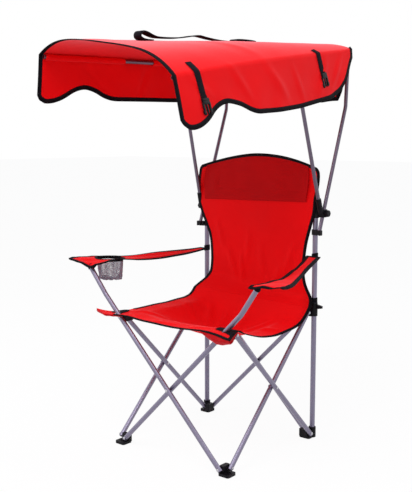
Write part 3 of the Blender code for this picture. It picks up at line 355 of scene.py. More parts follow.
# Canopy. Red polyester cloth in a plain weave, cut as one top with two side valances and a rear
# valance, and stretched over the rods. Its hem is scalloped behind the front corners, and black
# tape is folded over every edge and stitched down. The valances hang a little loose and wrinkle.
CLOTH_RED = "#F5080F"
CLOTH_RED_DEEP = "#DE050B"
CLOTH_SHEEN = "#FF4A50"
# Painted sheen: the red cloths turn this pale pink where they are seen at a grazing angle, most strongly on
# the canopy.
PAINTED_SHEEN_PINK = "#FF8088"
CLOTH_PAINTED_SHEEN = (0.4, 8.0)
CANOPY_PAINTED_SHEEN = (1.0, 4.5)
TAPE_BLACK = "#0C0A0F"
TAPE_STITCH = "#1F1C24"
CLOTH = 0.0012
THREAD_SPACING = 0.0026
TAPE_WIDTH = 0.0105
TAPE_LIFT = 0.0007
TAPE_OVERHANG = 0.001
TAPE_RIB = 0.0022
STITCH_LENGTH = 0.005
CANOPY_FRONT_Y = -0.522
CANOPY_REAR_Y = 0.405
CANOPY_HALF_WIDTH = 0.2712
CREASE_HEIGHTS = {"right": ((0.0, 1.209), (0.22, 1.241), (0.45, 1.276), (1.0, 1.347)),
                  "left": ((0.0, 1.295), (1.0, 1.318))}
CANOPY_ARCH = 0.062
CANOPY_REAR_ARCH = 0.035
CANOPY_DOME = 0.01
ARCH_POWER = 3.8
VALANCE_DEPTH = 0.14
HEM_SPREAD = 0.018
VALANCE_DROPS = {
    "right": ((0.0, 0.118), (0.012, 0.138), (0.035, 0.1495), (0.079, 0.15), (0.13, 0.134), (0.173, 0.107),
        (0.216, 0.098), (0.236, 0.1), (0.293, 0.116), (0.34, 0.138), (0.374, 0.1495), (0.498, 0.159),
        (0.628, 0.161), (0.828, 0.153), (0.904, 0.134), (0.951, 0.101), (0.975, 0.06), (1.0, 0.03)),
    "left": ((0.0, 0.122), (0.015, 0.1455), (0.0615, 0.146), (0.111, 0.1326), (0.162, 0.1077),
        (0.208, 0.0988), (0.256, 0.11), (0.299, 0.128), (0.343, 0.137), (0.655, 0.139), (0.85, 0.139),
        (0.92, 0.128), (0.96, 0.095), (0.98, 0.06), (1.0, 0.03))}
FRONT_FLARE = {"right": 0.036, "left": 0.012}
REAR_FLARE = 0.012
REAR_VALANCE_DROPS = {
    "right": ((0.0, 0.205), (0.6, 0.202), (0.857, 0.187), (0.93, 0.14), (1.0, 0.03)),
    "left": ((0.0, 0.205), (0.45, 0.198), (0.7, 0.178), (0.857, 0.142), (0.93, 0.108), (1.0, 0.03))}
REAR_VALANCE_TAPER = 0.022
CANOPY_TAPE_WIDTH = 0.0135
CANOPY_BODY = "canopy_on_left_rods"


def woven_cloth(name, light, deep, painted_sheen=CLOTH_PAINTED_SHEEN):
    """Plain-woven polyester, 0.5 mm threads, drawn 2.6 mm apart so that they show: a dry, even red, with a
    painted sheen that turns it paler pink at grazing angles.
    """
    material, tree, coords = new_material(name)
    threads = {"Vector": coords["UV"], "Scale": 2 * pi / (THREAD_SPACING * 20), "Distortion": 0.6,
               "Detail": 1.0, "Detail Scale": 6.0}
    warp, weft = (add_node(tree, "TexWave", threads, bands_direction=axis).outputs["Fac"] for axis in "XY")
    weave = add_node(tree, "Math", {0: warp, 1: weft}, operation="MULTIPLY")
    tone = add_node(tree, "TexNoise", {"Vector": coords["Object"], "Scale": 5.0, "Detail": 4.0})
    slub = add_node(tree, "Math", {0: weave, 1: 0.25}, operation="MULTIPLY")
    shade = add_node(tree, "Math", {0: slub, 1: tone}, operation="ADD")
    body = add_node(tree, "Mix", {0: shade, 6: deep, 7: light}, data_type="RGBA")
    # Painted sheen: the base colour turns paler pink towards grazing view angles.
    grazing = add_node(tree, "LayerWeight", {"Blend": 0.5}).outputs["Facing"]
    steep = add_node(tree, "Math", {0: grazing, 1: painted_sheen[1]}, operation="POWER")
    painted_sheen_share = add_node(tree, "Math", {0: steep, 1: painted_sheen[0]}, operation="MULTIPLY")
    colour = add_node(tree, "Mix", {0: painted_sheen_share, 6: body.outputs[2], 7: PAINTED_SHEEN_PINK}, data_type="RGBA")
    crumple = add_node(tree, "TexNoise", {"Vector": coords["Object"], "Scale": 26.0, "Detail": 5.0,
                                          "Roughness": 0.55})
    soft_bump = add_node(tree, "Bump", {"Height": crumple, "Strength": 0.3, "Distance": 0.004})
    bump = add_node(tree, "Bump", {"Height": weave, "Strength": 0.35, "Distance": 0.0004,
                                   "Normal": soft_bump})
    gloss = add_node(tree, "MapRange", {"Value": tone, "To Min": 0.62, "To Max": 0.8})
    shader = add_node(tree, "BsdfPrincipled", {
        "Base Color": colour.outputs[2], "Roughness": gloss, "IOR": 1.5, "Specular IOR Level": 0.08,
        "Sheen Weight": 0.12, "Sheen Roughness": 0.4, "Sheen Tint": CLOTH_SHEEN, "Normal": bump})
    add_node(tree, "OutputMaterial", {"Surface": shader})
    return material


def ribbed_tape():
    """Black polypropylene binding with fine cross ribs, and a line of stitches near its inner edge."""
    material, tree, coords = new_material("black_binding_tape")
    uv = coords["UV"]
    ribs = add_node(tree, "TexWave", {"Vector": uv, "Scale": 2 * pi / (TAPE_RIB * 20)},
                    bands_direction="X")
    parts = add_node(tree, "SeparateXYZ", {0: uv}).outputs
    run = add_node(tree, "Math", {0: parts[0], 1: STITCH_LENGTH}, operation="DIVIDE")
    beat = add_node(tree, "Math", {0: run}, operation="FRACT")
    on = add_node(tree, "Math", {0: beat, 1: 0.68}, operation="LESS_THAN")
    row = add_node(tree, "Math", {0: parts[1], 1: 0.78, 2: 0.07}, operation="COMPARE")
    stitch = add_node(tree, "Math", {0: on, 1: row}, operation="MULTIPLY")
    colour = add_node(tree, "Mix", {0: stitch, 6: TAPE_BLACK, 7: TAPE_STITCH}, data_type="RGBA")
    high = add_node(tree, "Math", {0: ribs.outputs["Fac"], 1: stitch}, operation="ADD")
    bump = add_node(tree, "Bump", {"Height": high, "Strength": 0.5, "Distance": 0.0004})
    shader = add_node(tree, "BsdfPrincipled", {
        "Base Color": colour.outputs[2], "Roughness": 0.78, "Specular IOR Level": 0.08, "Normal": bump})
    add_node(tree, "OutputMaterial", {"Surface": shader})
    return material


red_cloth = woven_cloth("red_woven_polyester", CLOTH_RED, CLOTH_RED_DEEP)
# The canopy cloth gets the stronger painted sheen, which paints its top pale pink.
canopy_fabric = woven_cloth("red_coated_polyester", CLOTH_RED, CLOTH_RED_DEEP, painted_sheen=CANOPY_PAINTED_SHEEN)
tape = ribbed_tape()


def value_at(table, place):
    """Read a table of places and values, with a straight run between its points."""
    for (low, one), (high, two) in zip(table, table[1:]):
        if place <= high:
            return one + (two - one) * max(0.0, (place - low) / (high - low))
    return table[-1][1]


def eased(table, place, spread):
    """The same reading with its corners eased, as cloth and thread can't hold a sharp corner."""
    low, high = table[0][0], table[-1][0]
    reach = min(spread, place - low, high - place)
    return sum(value_at(table, place + reach * k / 3) for k in range(-3, 4)) / 7


def shares(count, low=0.0, high=1.0):
    """Even steps from low to high."""
    return [low + (high - low) * k / count for k in range(count + 1)]


def clamp(share):
    """A share that stays between 0 and 1."""
    return min(1.0, max(0.0, share))


def ridges(u, v, lines):
    """How high soft creases stand at a place: each has its two ends, width and height in millimetres."""
    high = 0.0
    for line in lines:
        start_u, start_v, end_u, end_v, width, height = (size / 1000 for size in line)
        du, dv = end_u - start_u, end_v - start_v
        near = clamp(((u - start_u) * du + (v - start_v) * dv) / hypot(du, dv) ** 2)
        gap = hypot(u - start_u - du * near, v - start_v - dv * near)
        high += height * sin(pi * (0.08 + 0.84 * near)) * exp(-(gap / width) ** 2)
    return high


def crumple(place, scale, height, seed):
    """Gentle unevenness of hanging cloth, the same at each run."""
    return height * noise.noise(Vector(place) * scale + Vector((seed, 3.1 * seed, 7.7)))


def mesh_piece(name, shape, material, body):
    """Turn a finished shape into a smooth piece that rides its body."""
    bmesh.ops.translate(shape, verts=shape.verts, vec=FEET_CENTRE)
    mesh = bpy.data.meshes.new(name)
    shape.to_mesh(mesh)
    shape.free()
    mesh.shade_smooth()
    mesh.materials.append(material)
    piece = bpy.data.objects.new(name, mesh)
    scene.collection.objects.link(piece)
    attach(piece, body)
    return piece


def cloth_piece(name, grids, material, body, creases=None):
    """A sheet of cloth from rows of points, joined along shared edges, with its creases pressed in."""
    shape = bmesh.new()
    layer = shape.loops.layers.uv.new("cloth")
    spots = {}
    for rows in grids:
        middle = len(rows[0]) // 2
        run = [0.0]
        for one, two in zip(rows, rows[1:]):
            run.append(run[-1] + (two[middle] - one[middle]).length)
        verts, places = [], []
        for row, v in zip(rows, run):
            steps = [0.0]
            for one, two in zip(row, row[1:]):
                steps.append(steps[-1] + (two - one).length)
            verts.append([shape.verts.new(point) for point in row])
            places.append([(u - steps[middle], v) for u in steps])
            for vert, place in zip(verts[-1], places[-1]):
                spots[vert] = place
        for r in range(len(rows) - 1):
            for c in range(len(rows[0]) - 1):
                corners = ((r, c), (r, c + 1), (r + 1, c + 1), (r + 1, c))
                face = shape.faces.new([verts[a][b] for a, b in corners])
                for loop, (a, b) in zip(face.loops, corners):
                    loop[layer].uv = places[a][b]
    bmesh.ops.remove_doubles(shape, verts=shape.verts, dist=0.0002)
    bmesh.ops.recalc_face_normals(shape, faces=shape.faces)
    if creases:
        for vert, (u, v) in spots.items():
            if vert.is_valid:
                vert.co += vert.normal * creases(u, v, vert.co)
    for edge in shape.edges:
        edge.smooth = not edge.is_boundary
    piece = mesh_piece(name, shape, material, body)
    solid = piece.modifiers.new("thickness", "SOLIDIFY")
    solid.thickness = CLOTH
    solid.offset = 0.0
    return piece


def set_thickness(piece):
    """Make a cloth's thickness part of its mesh, so that it folds with the tape on it."""
    select_only(piece)
    bpy.ops.object.modifier_apply(modifier="thickness")


def edge_runs(piece, wanted):
    """The runs of a cloth's edge that are to be bound: points, inward directions and normals."""
    shape = bmesh.new()
    shape.from_mesh(piece.data)
    bmesh.ops.translate(shape, verts=shape.verts, vec=-FEET_CENTRE)
    shape.normal_update()
    rim = dict.fromkeys(edge for edge in shape.edges
                        if edge.is_boundary and all(wanted(vert.co) for vert in edge.verts))
    runs = []
    while rim:
        ends = [v for edge in rim for v in edge.verts if sum(e in rim for e in v.link_edges) == 1]
        chain = [ends[0] if ends else next(iter(rim)).verts[0]]
        while ahead := [e for e in chain[-1].link_edges if e in rim]:
            del rim[ahead[0]]
            chain.append(ahead[0].other_vert(chain[-1]))
        closed = chain[0] == chain[-1] and len(chain) > 3
        chain = chain[:-1] if closed else chain
        run = []
        for k, vert in enumerate(chain):
            before = chain[k - 1] if closed or k else vert
            after = chain[(k + 1) % len(chain)] if closed or k + 1 < len(chain) else vert
            along = (after.co - before.co).normalized()
            normal = vert.normal.normalized()
            inward = normal.cross(along).normalized()
            middle = sum((f.calc_center_median() for f in vert.link_faces), Vector()) / len(vert.link_faces)
            if inward.dot(middle - vert.co) < 0:
                inward = -inward
            run.append((vert.co.copy(), inward, normal))
        runs.append((run, closed))
    shape.free()
    return runs


def strip(name, rings, uvs, material, body, closed=False):
    """A solid strip through its rings of points, with its length and width as its map."""
    shape = bmesh.new()
    layer = shape.loops.layers.uv.new("strip")
    loops = [[shape.verts.new(point) for point in ring] for ring in rings]
    count = len(rings[0])
    pairs = [(k, k + 1) for k in range(len(rings) - 1)] + ([(len(rings) - 1, 0)] if closed else [])
    for a, b in pairs:
        for k in range(count):
            n = (k + 1) % count
            face = shape.faces.new((loops[a][k], loops[a][n], loops[b][n], loops[b][k]))
            run_b = uvs[b][0] if b > a else uvs[a][0] + (uvs[1][0] - uvs[0][0])
            for loop, place in zip(face.loops, ((uvs[a][0], uvs[a][1][k]), (uvs[a][0], uvs[a][1][n]),
                                                (run_b, uvs[b][1][n]), (run_b, uvs[b][1][k]))):
                loop[layer].uv = place
    if not closed:
        shape.faces.new(loops[0])
        shape.faces.new(loops[-1])
    bmesh.ops.recalc_face_normals(shape, faces=shape.faces)
    piece = mesh_piece(name, shape, material, body)
    piece.data.set_sharp_from_angle(angle=radians(50))
    return piece


def bind(cloth, name, body, wanted=lambda place: True, width=TAPE_WIDTH):
    """Fold black tape over a cloth's edge, and stitch it down."""
    pieces = []
    half = CLOTH / 2 + TAPE_LIFT
    section = ((width, half), (0.0, half + TAPE_LIFT / 2), (-TAPE_OVERHANG, half * 0.5),
               (-TAPE_OVERHANG, -half * 0.5), (0.0, -half - TAPE_LIFT / 2), (width, -half))
    for number, (run, closed) in enumerate(edge_runs(cloth, wanted)):
        if len(run) < 3:
            continue
        rings, uvs, length = [], [], 0.0
        for k, (place, inward, normal) in enumerate(run):
            if k:
                length += (place - run[k - 1][0]).length
            rings.append([place + inward * across + normal * up for across, up in section])
            uvs.append((length, (1.0, 0.1, 0.0, 0.0, 0.1, 1.0)))
        piece = strip(name + ("_" + str(number) if number else ""), rings, uvs, tape, body, closed)
        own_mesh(piece)
        pieces.append(piece)
    return pieces


def crease_height(side, share):
    """The height of the canopy's side crease, from its front (0) to its rear (1)."""
    return eased(CREASE_HEIGHTS[side], share, 0.05)


def canopy_y(share):
    """How far back a share of the canopy's length is."""
    return CANOPY_FRONT_Y + (CANOPY_REAR_Y - CANOPY_FRONT_Y) * share


def canopy_share(y):
    """The share of the canopy's length that a place is from its front."""
    return (y - CANOPY_FRONT_Y) / (CANOPY_REAR_Y - CANOPY_FRONT_Y)


def canopy_top(x_share, share):
    """A point of the canopy's top: across from -1 to 1, and from the front (0) to the rear (1)."""
    level = (crease_height("left", share) * (1 - x_share) + crease_height("right", share) * (1 + x_share)) / 2
    arch = CANOPY_ARCH + (CANOPY_REAR_ARCH - CANOPY_ARCH) * share + CANOPY_DOME * sin(pi * share)
    lift = arch * (1 - abs(x_share) ** ARCH_POWER)
    return Vector((x_share * CANOPY_HALF_WIDTH, canopy_y(share), level + lift))


def canopy_side(side, depth_share, share):
    """A point of a side valance, from its crease (0) to its hem (1)."""
    sign = 1 if side == "right" else -1
    drop = eased(VALANCE_DROPS[side], share, HEM_SPREAD) * depth_share
    flare = (FRONT_FLARE[side] * (1 - share) + REAR_FLARE * share) * drop / VALANCE_DEPTH
    return Vector((sign * (CANOPY_HALF_WIDTH + flare), canopy_y(share), crease_height(side, share) - drop))


def canopy_rear(x_share, depth_share):
    """A point of the rear valance, from the top's rear edge (0) to its hem (1)."""
    edge = canopy_top(x_share, 1.0)
    hem_share = x_share * (1 - REAR_VALANCE_TAPER * depth_share / CANOPY_HALF_WIDTH)
    drop = value_at(REAR_VALANCE_DROPS["left" if x_share < 0 else "right"], abs(x_share)) * depth_share
    return Vector((hem_share * CANOPY_HALF_WIDTH, edge.y + REAR_FLARE * depth_share, edge.z - drop))


EXTRA_ROWS = {0.004, 0.008, 0.014, 0.018, 0.986, 0.992, 0.996}
CANOPY_ROWS = sorted({round(k / 96, 4) for k in range(97)} | EXTRA_ROWS)
CANOPY_COLUMNS = [copysign(abs(x) ** 0.75, x) for x in shares(52, -1.0, 1.0)]
VALANCE_START = 0.29
TOP_CRUMPLE = 0.0008
HANG_CRUMPLE = 0.0042
CANOPY_CREASE = 1.4
CANOPY_RIDGES = (
    (300, 60, 370, 150, 10, 2.2), (290, 250, 400, 330, 12, 2.6), (300, 420, 420, 520, 14, 3),
    (310, 560, 430, 610, 10, 2.2), (300, 760, 410, 700, 12, 2.8), (290, 860, 400, 780, 10, 2.6),
    (-300, 180, -400, 300, 12, 2.6), (-300, 480, -410, 440, 12, 2.4), (-300, 700, -400, 780, 12, 2.6),
    (-200, 20, 0, 120, 20, 1.4), (50, 300, 260, 420, 22, 1.6), (-60, 620, -250, 760, 22, 1.6))


def canopy_creases(u, v, place):
    """The canopy's wrinkles: soft on the stretched top, deeper on the hanging valances."""
    hang = clamp((abs(u) - VALANCE_START) / 0.1)
    high = crumple((u, v, 0.0), 11.0, TOP_CRUMPLE + HANG_CRUMPLE * hang, 2.0)
    return high + CANOPY_CREASE * ridges(u, v, CANOPY_RIDGES)


rows = []
for share in CANOPY_ROWS:
    left = [canopy_side("left", depth, share) for depth in shares(16, 1.0, 0.0)]
    top = [canopy_top(x, share) for x in CANOPY_COLUMNS]
    right = [canopy_side("right", depth, share) for depth in shares(16)]
    rows.append(left[:-1] + top + right[1:])
rear = [[canopy_rear(x, depth) for x in CANOPY_COLUMNS] for depth in shares(22)]
canopy = cloth_piece("canopy_cloth", [rows, rear], canopy_fabric, CANOPY_BODY, canopy_creases)
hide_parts("canopy")
canopy_tape = bind(canopy, "canopy_binding", CANOPY_BODY, width=CANOPY_TAPE_WIDTH)
set_thickness(canopy)
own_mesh(canopy)


# Rod sleeves. Red cloth tubes sewn under the canopy's creases, one behind the front corner and one
# over the middle of each side. The rods slide through them, and a short length of bare rod shows
# between the two.
SLEEVE_RADIUS = 0.0088
SLEEVE_RUNS = ((-0.505, -0.168), (-0.028, 0.33))
BAR_DROP = 0.0068
ROD_X = 0.2635


def rod_sleeve(name, sign, side, start_y, end_y):
    """A cloth tube round the rod under one crease, a little flattened where it is sewn on."""
    rings, uvs = [], []
    count = 14
    for y in shares(24, start_y, end_y):
        level = crease_height(side, canopy_share(y)) - BAR_DROP
        swell = SLEEVE_RADIUS * (1.0 + 0.1 * noise.noise(Vector((y * 30.0, sign, 0.0))))
        ring, across = [], []
        for n in range(count):
            turn = 2 * pi * n / count
            reach = swell * (1.0 if sin(turn) > -0.2 else 1.12)
            ring.append(Vector((sign * ROD_X + reach * cos(turn), y, level + reach * sin(turn))))
            across.append(swell * turn)
        rings.append(ring)
        uvs.append((y - start_y, across))
    sleeve = strip(name, rings, uvs, red_cloth, CANOPY_BODY)
    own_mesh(sleeve)


# Side straps. Black polypropylene webbing, 24 mm wide, sewn over each crease, with the male half of
# a side-release buckle at its end. They tie the canopy down over the folded chair. The photograph
# shows the two on the right; the left valance has the same two, since each pair buckles together.
WEBBING_BLACK = "#0C0A0F"
WEBBING_WORN = "#201D26"
WEBBING_RIB = 0.003
STRAP_WIDTH = 0.024
STRAP_THICKNESS = 0.0016
STRAP_LIFT = 0.0012
STRAP_PLACES = {"front": (0.029, -0.428, -0.408, 0.136), "rear": (0.018, 0.182, 0.219, 0.127)}
BUCKLE_LENGTH = 0.047
BUCKLE_WIDTH = 0.036
BUCKLE_BODY = 0.018
PRONG_WIDTH = 0.007
PRONG_THICKNESS = 0.0045


def woven_webbing():
    """Black polypropylene webbing: heavy cross ribs 3 mm apart, dull, a little grey where it rubs."""
    material, tree, coords = new_material("black_polypropylene_webbing")
    ribs = add_node(tree, "TexWave", {"Vector": coords["UV"], "Scale": 2 * pi / (WEBBING_RIB * 20),
                                      "Distortion": 0.8, "Detail": 1.0}, bands_direction="X")
    rubbed = add_node(tree, "TexNoise", {"Vector": coords["Object"], "Scale": 60.0, "Detail": 3.0})
    share = add_node(tree, "Math", {0: ribs.outputs["Fac"], 1: rubbed}, operation="MULTIPLY")
    colour = add_node(tree, "Mix", {0: share, 6: WEBBING_BLACK, 7: WEBBING_WORN}, data_type="RGBA")
    bump = add_node(tree, "Bump", {"Height": ribs.outputs["Fac"], "Strength": 0.6, "Distance": 0.0005})
    shader = add_node(tree, "BsdfPrincipled", {
        "Base Color": colour.outputs[2], "Roughness": 0.8, "Specular IOR Level": 0.08, "Normal": bump})
    add_node(tree, "OutputMaterial", {"Surface": shader})
    return material


webbing = woven_webbing()


def directions(path):
    """The way that a path runs at each of its points."""
    last = len(path) - 1
    return [(path[min(k + 1, last)] - path[max(k - 1, 0)]).normalized() for k in range(last + 1)]


def webbing_strip(name, path, normals, across, width, body, thick=None):
    """A flat strap along a path, its edges a little thinner than its middle as woven webbing is."""
    rings, uvs, length = [], [], 0.0
    for k, (point, normal) in enumerate(zip(path, normals)):
        length += (point - path[k - 1]).length if k else 0.0
        up = normal * (thick[k] if thick else STRAP_THICKNESS)
        half = across[k] * width / 2
        rings.append([point + half * out + up * high for out, high in (
            (-1, 0.25), (-0.9, 0), (0.9, 0), (1, 0.25), (1, 0.75), (0.9, 1), (-0.9, 1), (-1, 0.75))])
        uvs.append((length, (0.0, 0.0, width, width, width, width, 0.0, 0.0)))
    return strip(name, rings, uvs, webbing, body)


def canopy_point(side, run, y):
    """A place on the canopy by its distance outside (+) or inside (-) of a crease, with its normal."""
    sign, share = 1 if side == "right" else -1, canopy_share(y)

    def at(distance, place):
        if distance < 0:
            return canopy_top(sign * (1 + distance / CANOPY_HALF_WIDTH), place)
        return canopy_side(side, distance / eased(VALANCE_DROPS[side], place, HEM_SPREAD), place)

    here = at(run, share)
    one, two = at(run + 0.004, share) - at(run - 0.004, share), at(run, share + 0.01) - at(run, share - 0.01)
    normal = one.cross(two).normalized()
    return here, normal if normal.x * sign + normal.z > 0 else -normal


def strap_run(side, sizes):
    """The path, normals and cross directions of a side strap, from its sewn end to its buckle."""
    run, start_y, end_y, drop = sizes
    path, normals = [], []
    length = run + drop - BUCKLE_LENGTH
    for part in shares(26):
        at = -run + length * part
        y = start_y + (end_y - start_y) * (at + run) / (run + drop)
        place, normal = canopy_point(side, at, y)
        path.append(place)
        normals.append(normal)
    smooth = [(normals[max(k - 1, 0)] + n * 2 + normals[min(k + 1, len(normals) - 1)]).normalized()
              for k, n in enumerate(normals)]
    path = [p + n * (CLOTH / 2 + STRAP_LIFT) for p, n in zip(path, smooth)]
    along = directions(path)
    across = [a.cross(n).normalized() for a, n in zip(along, smooth)]
    return path, smooth, along, across


def rounded_block(size, rounding):
    """A moulded block with rounded edges, made at the origin."""
    bpy.ops.mesh.primitive_cube_add(size=1.0)
    block = bpy.context.active_object
    block.scale = size
    bpy.ops.object.transform_apply(location=False, rotation=False, scale=True)
    edge = block.modifiers.new("edges", "BEVEL")
    edge.width = rounding
    edge.segments = 3
    bpy.ops.object.modifier_apply(modifier="edges")
    return block


def male_buckle(name, place, along, normal, body):
    """The male half of a side-release buckle: a slotted body, two spring arms and a guide between them."""
    guide, arm = BUCKLE_LENGTH - BUCKLE_BODY * 0.6, BUCKLE_LENGTH - BUCKLE_BODY * 0.7
    # Each block's size, the rounding of its edges, its place across and along, and its turn.
    blocks = [
        ((BUCKLE_WIDTH * 0.8, BUCKLE_BODY, 0.006), 0.00168, 0.0, BUCKLE_BODY / 2, 0.0),
        ((BUCKLE_WIDTH * 0.72, 0.004, 0.0085), 0.00112, 0.0, BUCKLE_BODY * 0.32, 0.0),
        ((PRONG_WIDTH * 0.7, guide, PRONG_THICKNESS * 0.8), 0.001008, 0.0,
         BUCKLE_BODY * 0.6 + guide / 2 - 0.002, 0.0)]
    for sign in (-1, 1):
        blocks += [
            ((PRONG_WIDTH, arm, PRONG_THICKNESS), 0.0014, sign * BUCKLE_WIDTH * 0.36,
             BUCKLE_BODY * 0.7 + arm / 2, sign * 4.0),
            ((PRONG_WIDTH * 1.35, 0.011, PRONG_THICKNESS * 1.15), 0.0016, sign * BUCKLE_WIDTH * 0.4,
             BUCKLE_LENGTH - 0.0085, 0.0)]
    parts = []
    for size, rounding, x, y, turn in blocks:
        block = rounded_block(size, rounding)
        block.location = (x, y, 0.0)
        block.rotation_euler.z = radians(turn)
        parts.append(block)
    select_only(parts[0])
    for part in parts:
        part.select_set(True)
    bpy.ops.object.join()
    buckle = bpy.context.active_object
    side = along.cross(normal).normalized()
    turn = Matrix((side, along, side.cross(along))).transposed()
    buckle.matrix_world = Matrix.Translation(place) @ turn.to_4x4()
    return finish_moulded(buckle, name, body, 40.0)


for side, _ in SIDES:
    for place, sizes in STRAP_PLACES.items():
        body = CANOPY_BODY if side == "left" else "canopy_rods_right"
        path, normals, along, across = strap_run(side, sizes)
        name = "side_strap_" + place + "_" + side
        strap = webbing_strip(name, path, normals, across, STRAP_WIDTH, body)
        loop = [path[k] + normals[k] * lift for k, lift in ((-6, 0.0017), (-4, 0.0026), (-2, 0.003))]
        fold = webbing_strip(name + "_fold", loop, normals[-6::2], across[-6::2], STRAP_WIDTH * 0.96, body)
        end = path[-1] + normals[-1] * 0.0042 - along[-1] * 0.006
        buckle = male_buckle(name + "_buckle", end, along[-1], normals[-1], body)
        if side == "right":
            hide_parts("canopy_strap_" + place)
        for piece in (strap, fold, buckle):
            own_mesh(piece)


# Carrying strap. The same webbing, 30 mm wide and doubled, sewn along the middle of the canopy's top.
# Its front end is folded over into a soft loop that stands up a little, and a second length with a
# flat pad is sewn on behind it. The folded chair is slung from the shoulder by it.
CARRY_WIDTH = 0.03
CARRY_THICKNESS = 0.003
CARRY_X = -0.02
CARRY_PROFILE = (
    (-0.296, 0.0016, 1.0), (-0.318, 0.003, 1.6), (-0.336, 0.006, 2.2), (-0.347, 0.012, 2.4),
    (-0.344, 0.019, 2.4), (-0.334, 0.0215, 2.3), (-0.318, 0.019, 2.0), (-0.3, 0.013, 1.6),
    (-0.28, 0.008, 1.3), (-0.255, 0.006, 1.2), (-0.215, 0.005, 1.2), (-0.175, 0.0055, 1.2),
    (-0.14, 0.0085, 1.2), (-0.105, 0.0125, 1.2), (-0.075, 0.014, 1.2), (-0.045, 0.0105, 1.0),
    (-0.015, 0.007, 1.0), (0.03, 0.004, 0.8), (0.075, 0.003, 0.8), (0.105, 0.003, 1.0), (0.112, 0.006, 1.5),
    (0.12, 0.0085, 1.9), (0.15, 0.0095, 2.0), (0.19, 0.0095, 2.0), (0.222, 0.008, 1.9),
    (0.231, 0.0018, 1.2))


def on_top(y, lift):
    """A place above the canopy's middle, with the cloth's normal there."""
    x_share, share = CARRY_X / CANOPY_HALF_WIDTH, canopy_share(y)
    ahead = canopy_top(x_share, share + 0.01) - canopy_top(x_share, share - 0.01)
    return canopy_top(x_share, share) + Vector((1, 0, 0)).cross(ahead).normalized() * lift


knots = [on_top(y, lift + CLOTH / 2 + 0.0012) for y, lift, _ in CARRY_PROFILE]
path, thick = [], []
for k in range(len(knots) - 1):
    a, b, c, d = knots[max(k - 1, 0)], knots[k], knots[k + 1], knots[min(k + 2, len(knots) - 1)]
    for t in (0.0, 0.25, 0.5, 0.75):
        thick.append(CARRY_PROFILE[k][2] * (1 - t) + CARRY_PROFILE[k + 1][2] * t)
        path.append(0.5 * (2 * b + (c - a) * t + (2 * a - 5 * b + 4 * c - d) * t ** 2
                           + (3 * b - a - 3 * c + d) * t ** 3))
path.append(knots[-1])
thick = [CARRY_THICKNESS * share for share in thick + [CARRY_PROFILE[-1][2]]]
across = [Vector((1, 0, 0))] * len(path)
normals = [side.cross(along).normalized() for side, along in zip(across, directions(path))]
carry = webbing_strip("carrying_strap", path, normals, across, CARRY_WIDTH, CANOPY_BODY, thick)
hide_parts("carry_strap")
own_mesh(carry)

for side, sign in SIDES:
    for number, (start_y, end_y) in enumerate(SLEEVE_RUNS):
        rod_sleeve("rod_sleeve_" + side + "_" + str(number), sign, side, start_y, end_y)


# Back. The same red cloth, hung between the uprights by two sewn pockets that slip over their tops,
# with an extra layer sewn on at head height. That layer is coloured a darker red: partly its double
# cloth, and partly painted shade from the canopy above. The back narrows to a waist above the arms,
# and black tape binds its edges. Body weight has pressed soft creases into its lower half.
# The headrest reds are darker partly for the double layer and partly as painted shade from the canopy.
HEADREST_RED_AND_SHADE = "#C0050B"
DEEP_RED_AND_SHADE = "#A60307"
BACK_TOP_Y = 0.2293
BACK_FITTING_Y = 0.2252
BACK_FITTING_TOP = 0.835
BACK_FITTING_RUN = 0.026
BACK_TURN = {"left": 0.062, "right": 0.04}
BACK_CORNER_HEIGHT = 0.943
BACK_CROWN = 0.0455
BACK_HALF_WIDTHS = ((0.46, 0.239), (0.473, 0.2375), (0.495, 0.234), (0.52, 0.219), (0.547, 0.212),
                    (0.597, 0.205), (0.677, 0.213), (0.737, 0.231), (0.79, 0.248), (0.83, 0.25),
                    (0.87, 0.2545), (0.92, 0.255), (0.99, 0.249))
SEAT_HALF_WIDTH = 0.2375
SEAT_CORNERS = {1: (0.287, 0.1), -1: (0.345, 0.055)}
SEAT_REACH = {1: ((0.14, 0.0), (0.215, 0.01), (0.285, 0.03)),
              -1: ((0.14, 0.0), (0.2, 0.008), (0.265, 0.014), (0.345, -0.028))}
SEAT_CORNER_DROP = {1: 0.009, -1: 0.002}
SEAT_FRONT_EDGE = -0.262
SEAT_LEFT_EDGE = (
    (-0.262, 0.459), (-0.194, 0.4595), (0.0, 0.458), (0.1, 0.463), (0.133, 0.472), (0.154, 0.495))
SEAT_RIGHT_EDGE = ((-0.262, 0.459), (-0.194, 0.459), (-0.16, 0.44), (-0.1, 0.42), (-0.058, 0.409),
                   (0.025, 0.4), (0.095, 0.404), (0.133, 0.411), (0.17, 0.43), (0.196, 0.468))
HEADREST_SEAM = 0.822
HEADREST_TILT = 0.004
HEADREST_ENDS = (-0.876, 0.846)
HEADREST_LIFT = 0.003
BACK_CROWN_POWERS = {1: 2.2, -1: 1.6}
BACK_LEFT_SPREAD = ((0.69, 0.0), (0.721, 0.005), (0.749, 0.0105), (0.783, 0.015), (0.809, 0.0205),
                    (0.84, 0.0185), (0.884, 0.0185), (0.905, 0.015), (0.945, 0.009))
BACK_RIGHT_SPREAD = 0.006
BACK_RIGHT_BULGE = (0.915, 0.04)
REAR_SPREAD = 0.016
REAR_SPREAD_RUN = (0.468, 0.09)
BACK_CORNER_CUT = 0.008
BACK_CORNER_SHARE = 0.035
BACK_BODY = "rear_left_upright"


def between(left, right, x_share):
    """A value that runs from the left edge's (-1) to the right edge's (1)."""
    return (left * (1 - x_share) + right * (1 + x_share)) / 2


def seam(x_share):
    """How far back and how high the seam between the back and the seat is."""
    return [between(left, right, x_share) for left, right in zip(SEAT_LEFT_EDGE[-1], SEAT_RIGHT_EDGE[-1])]


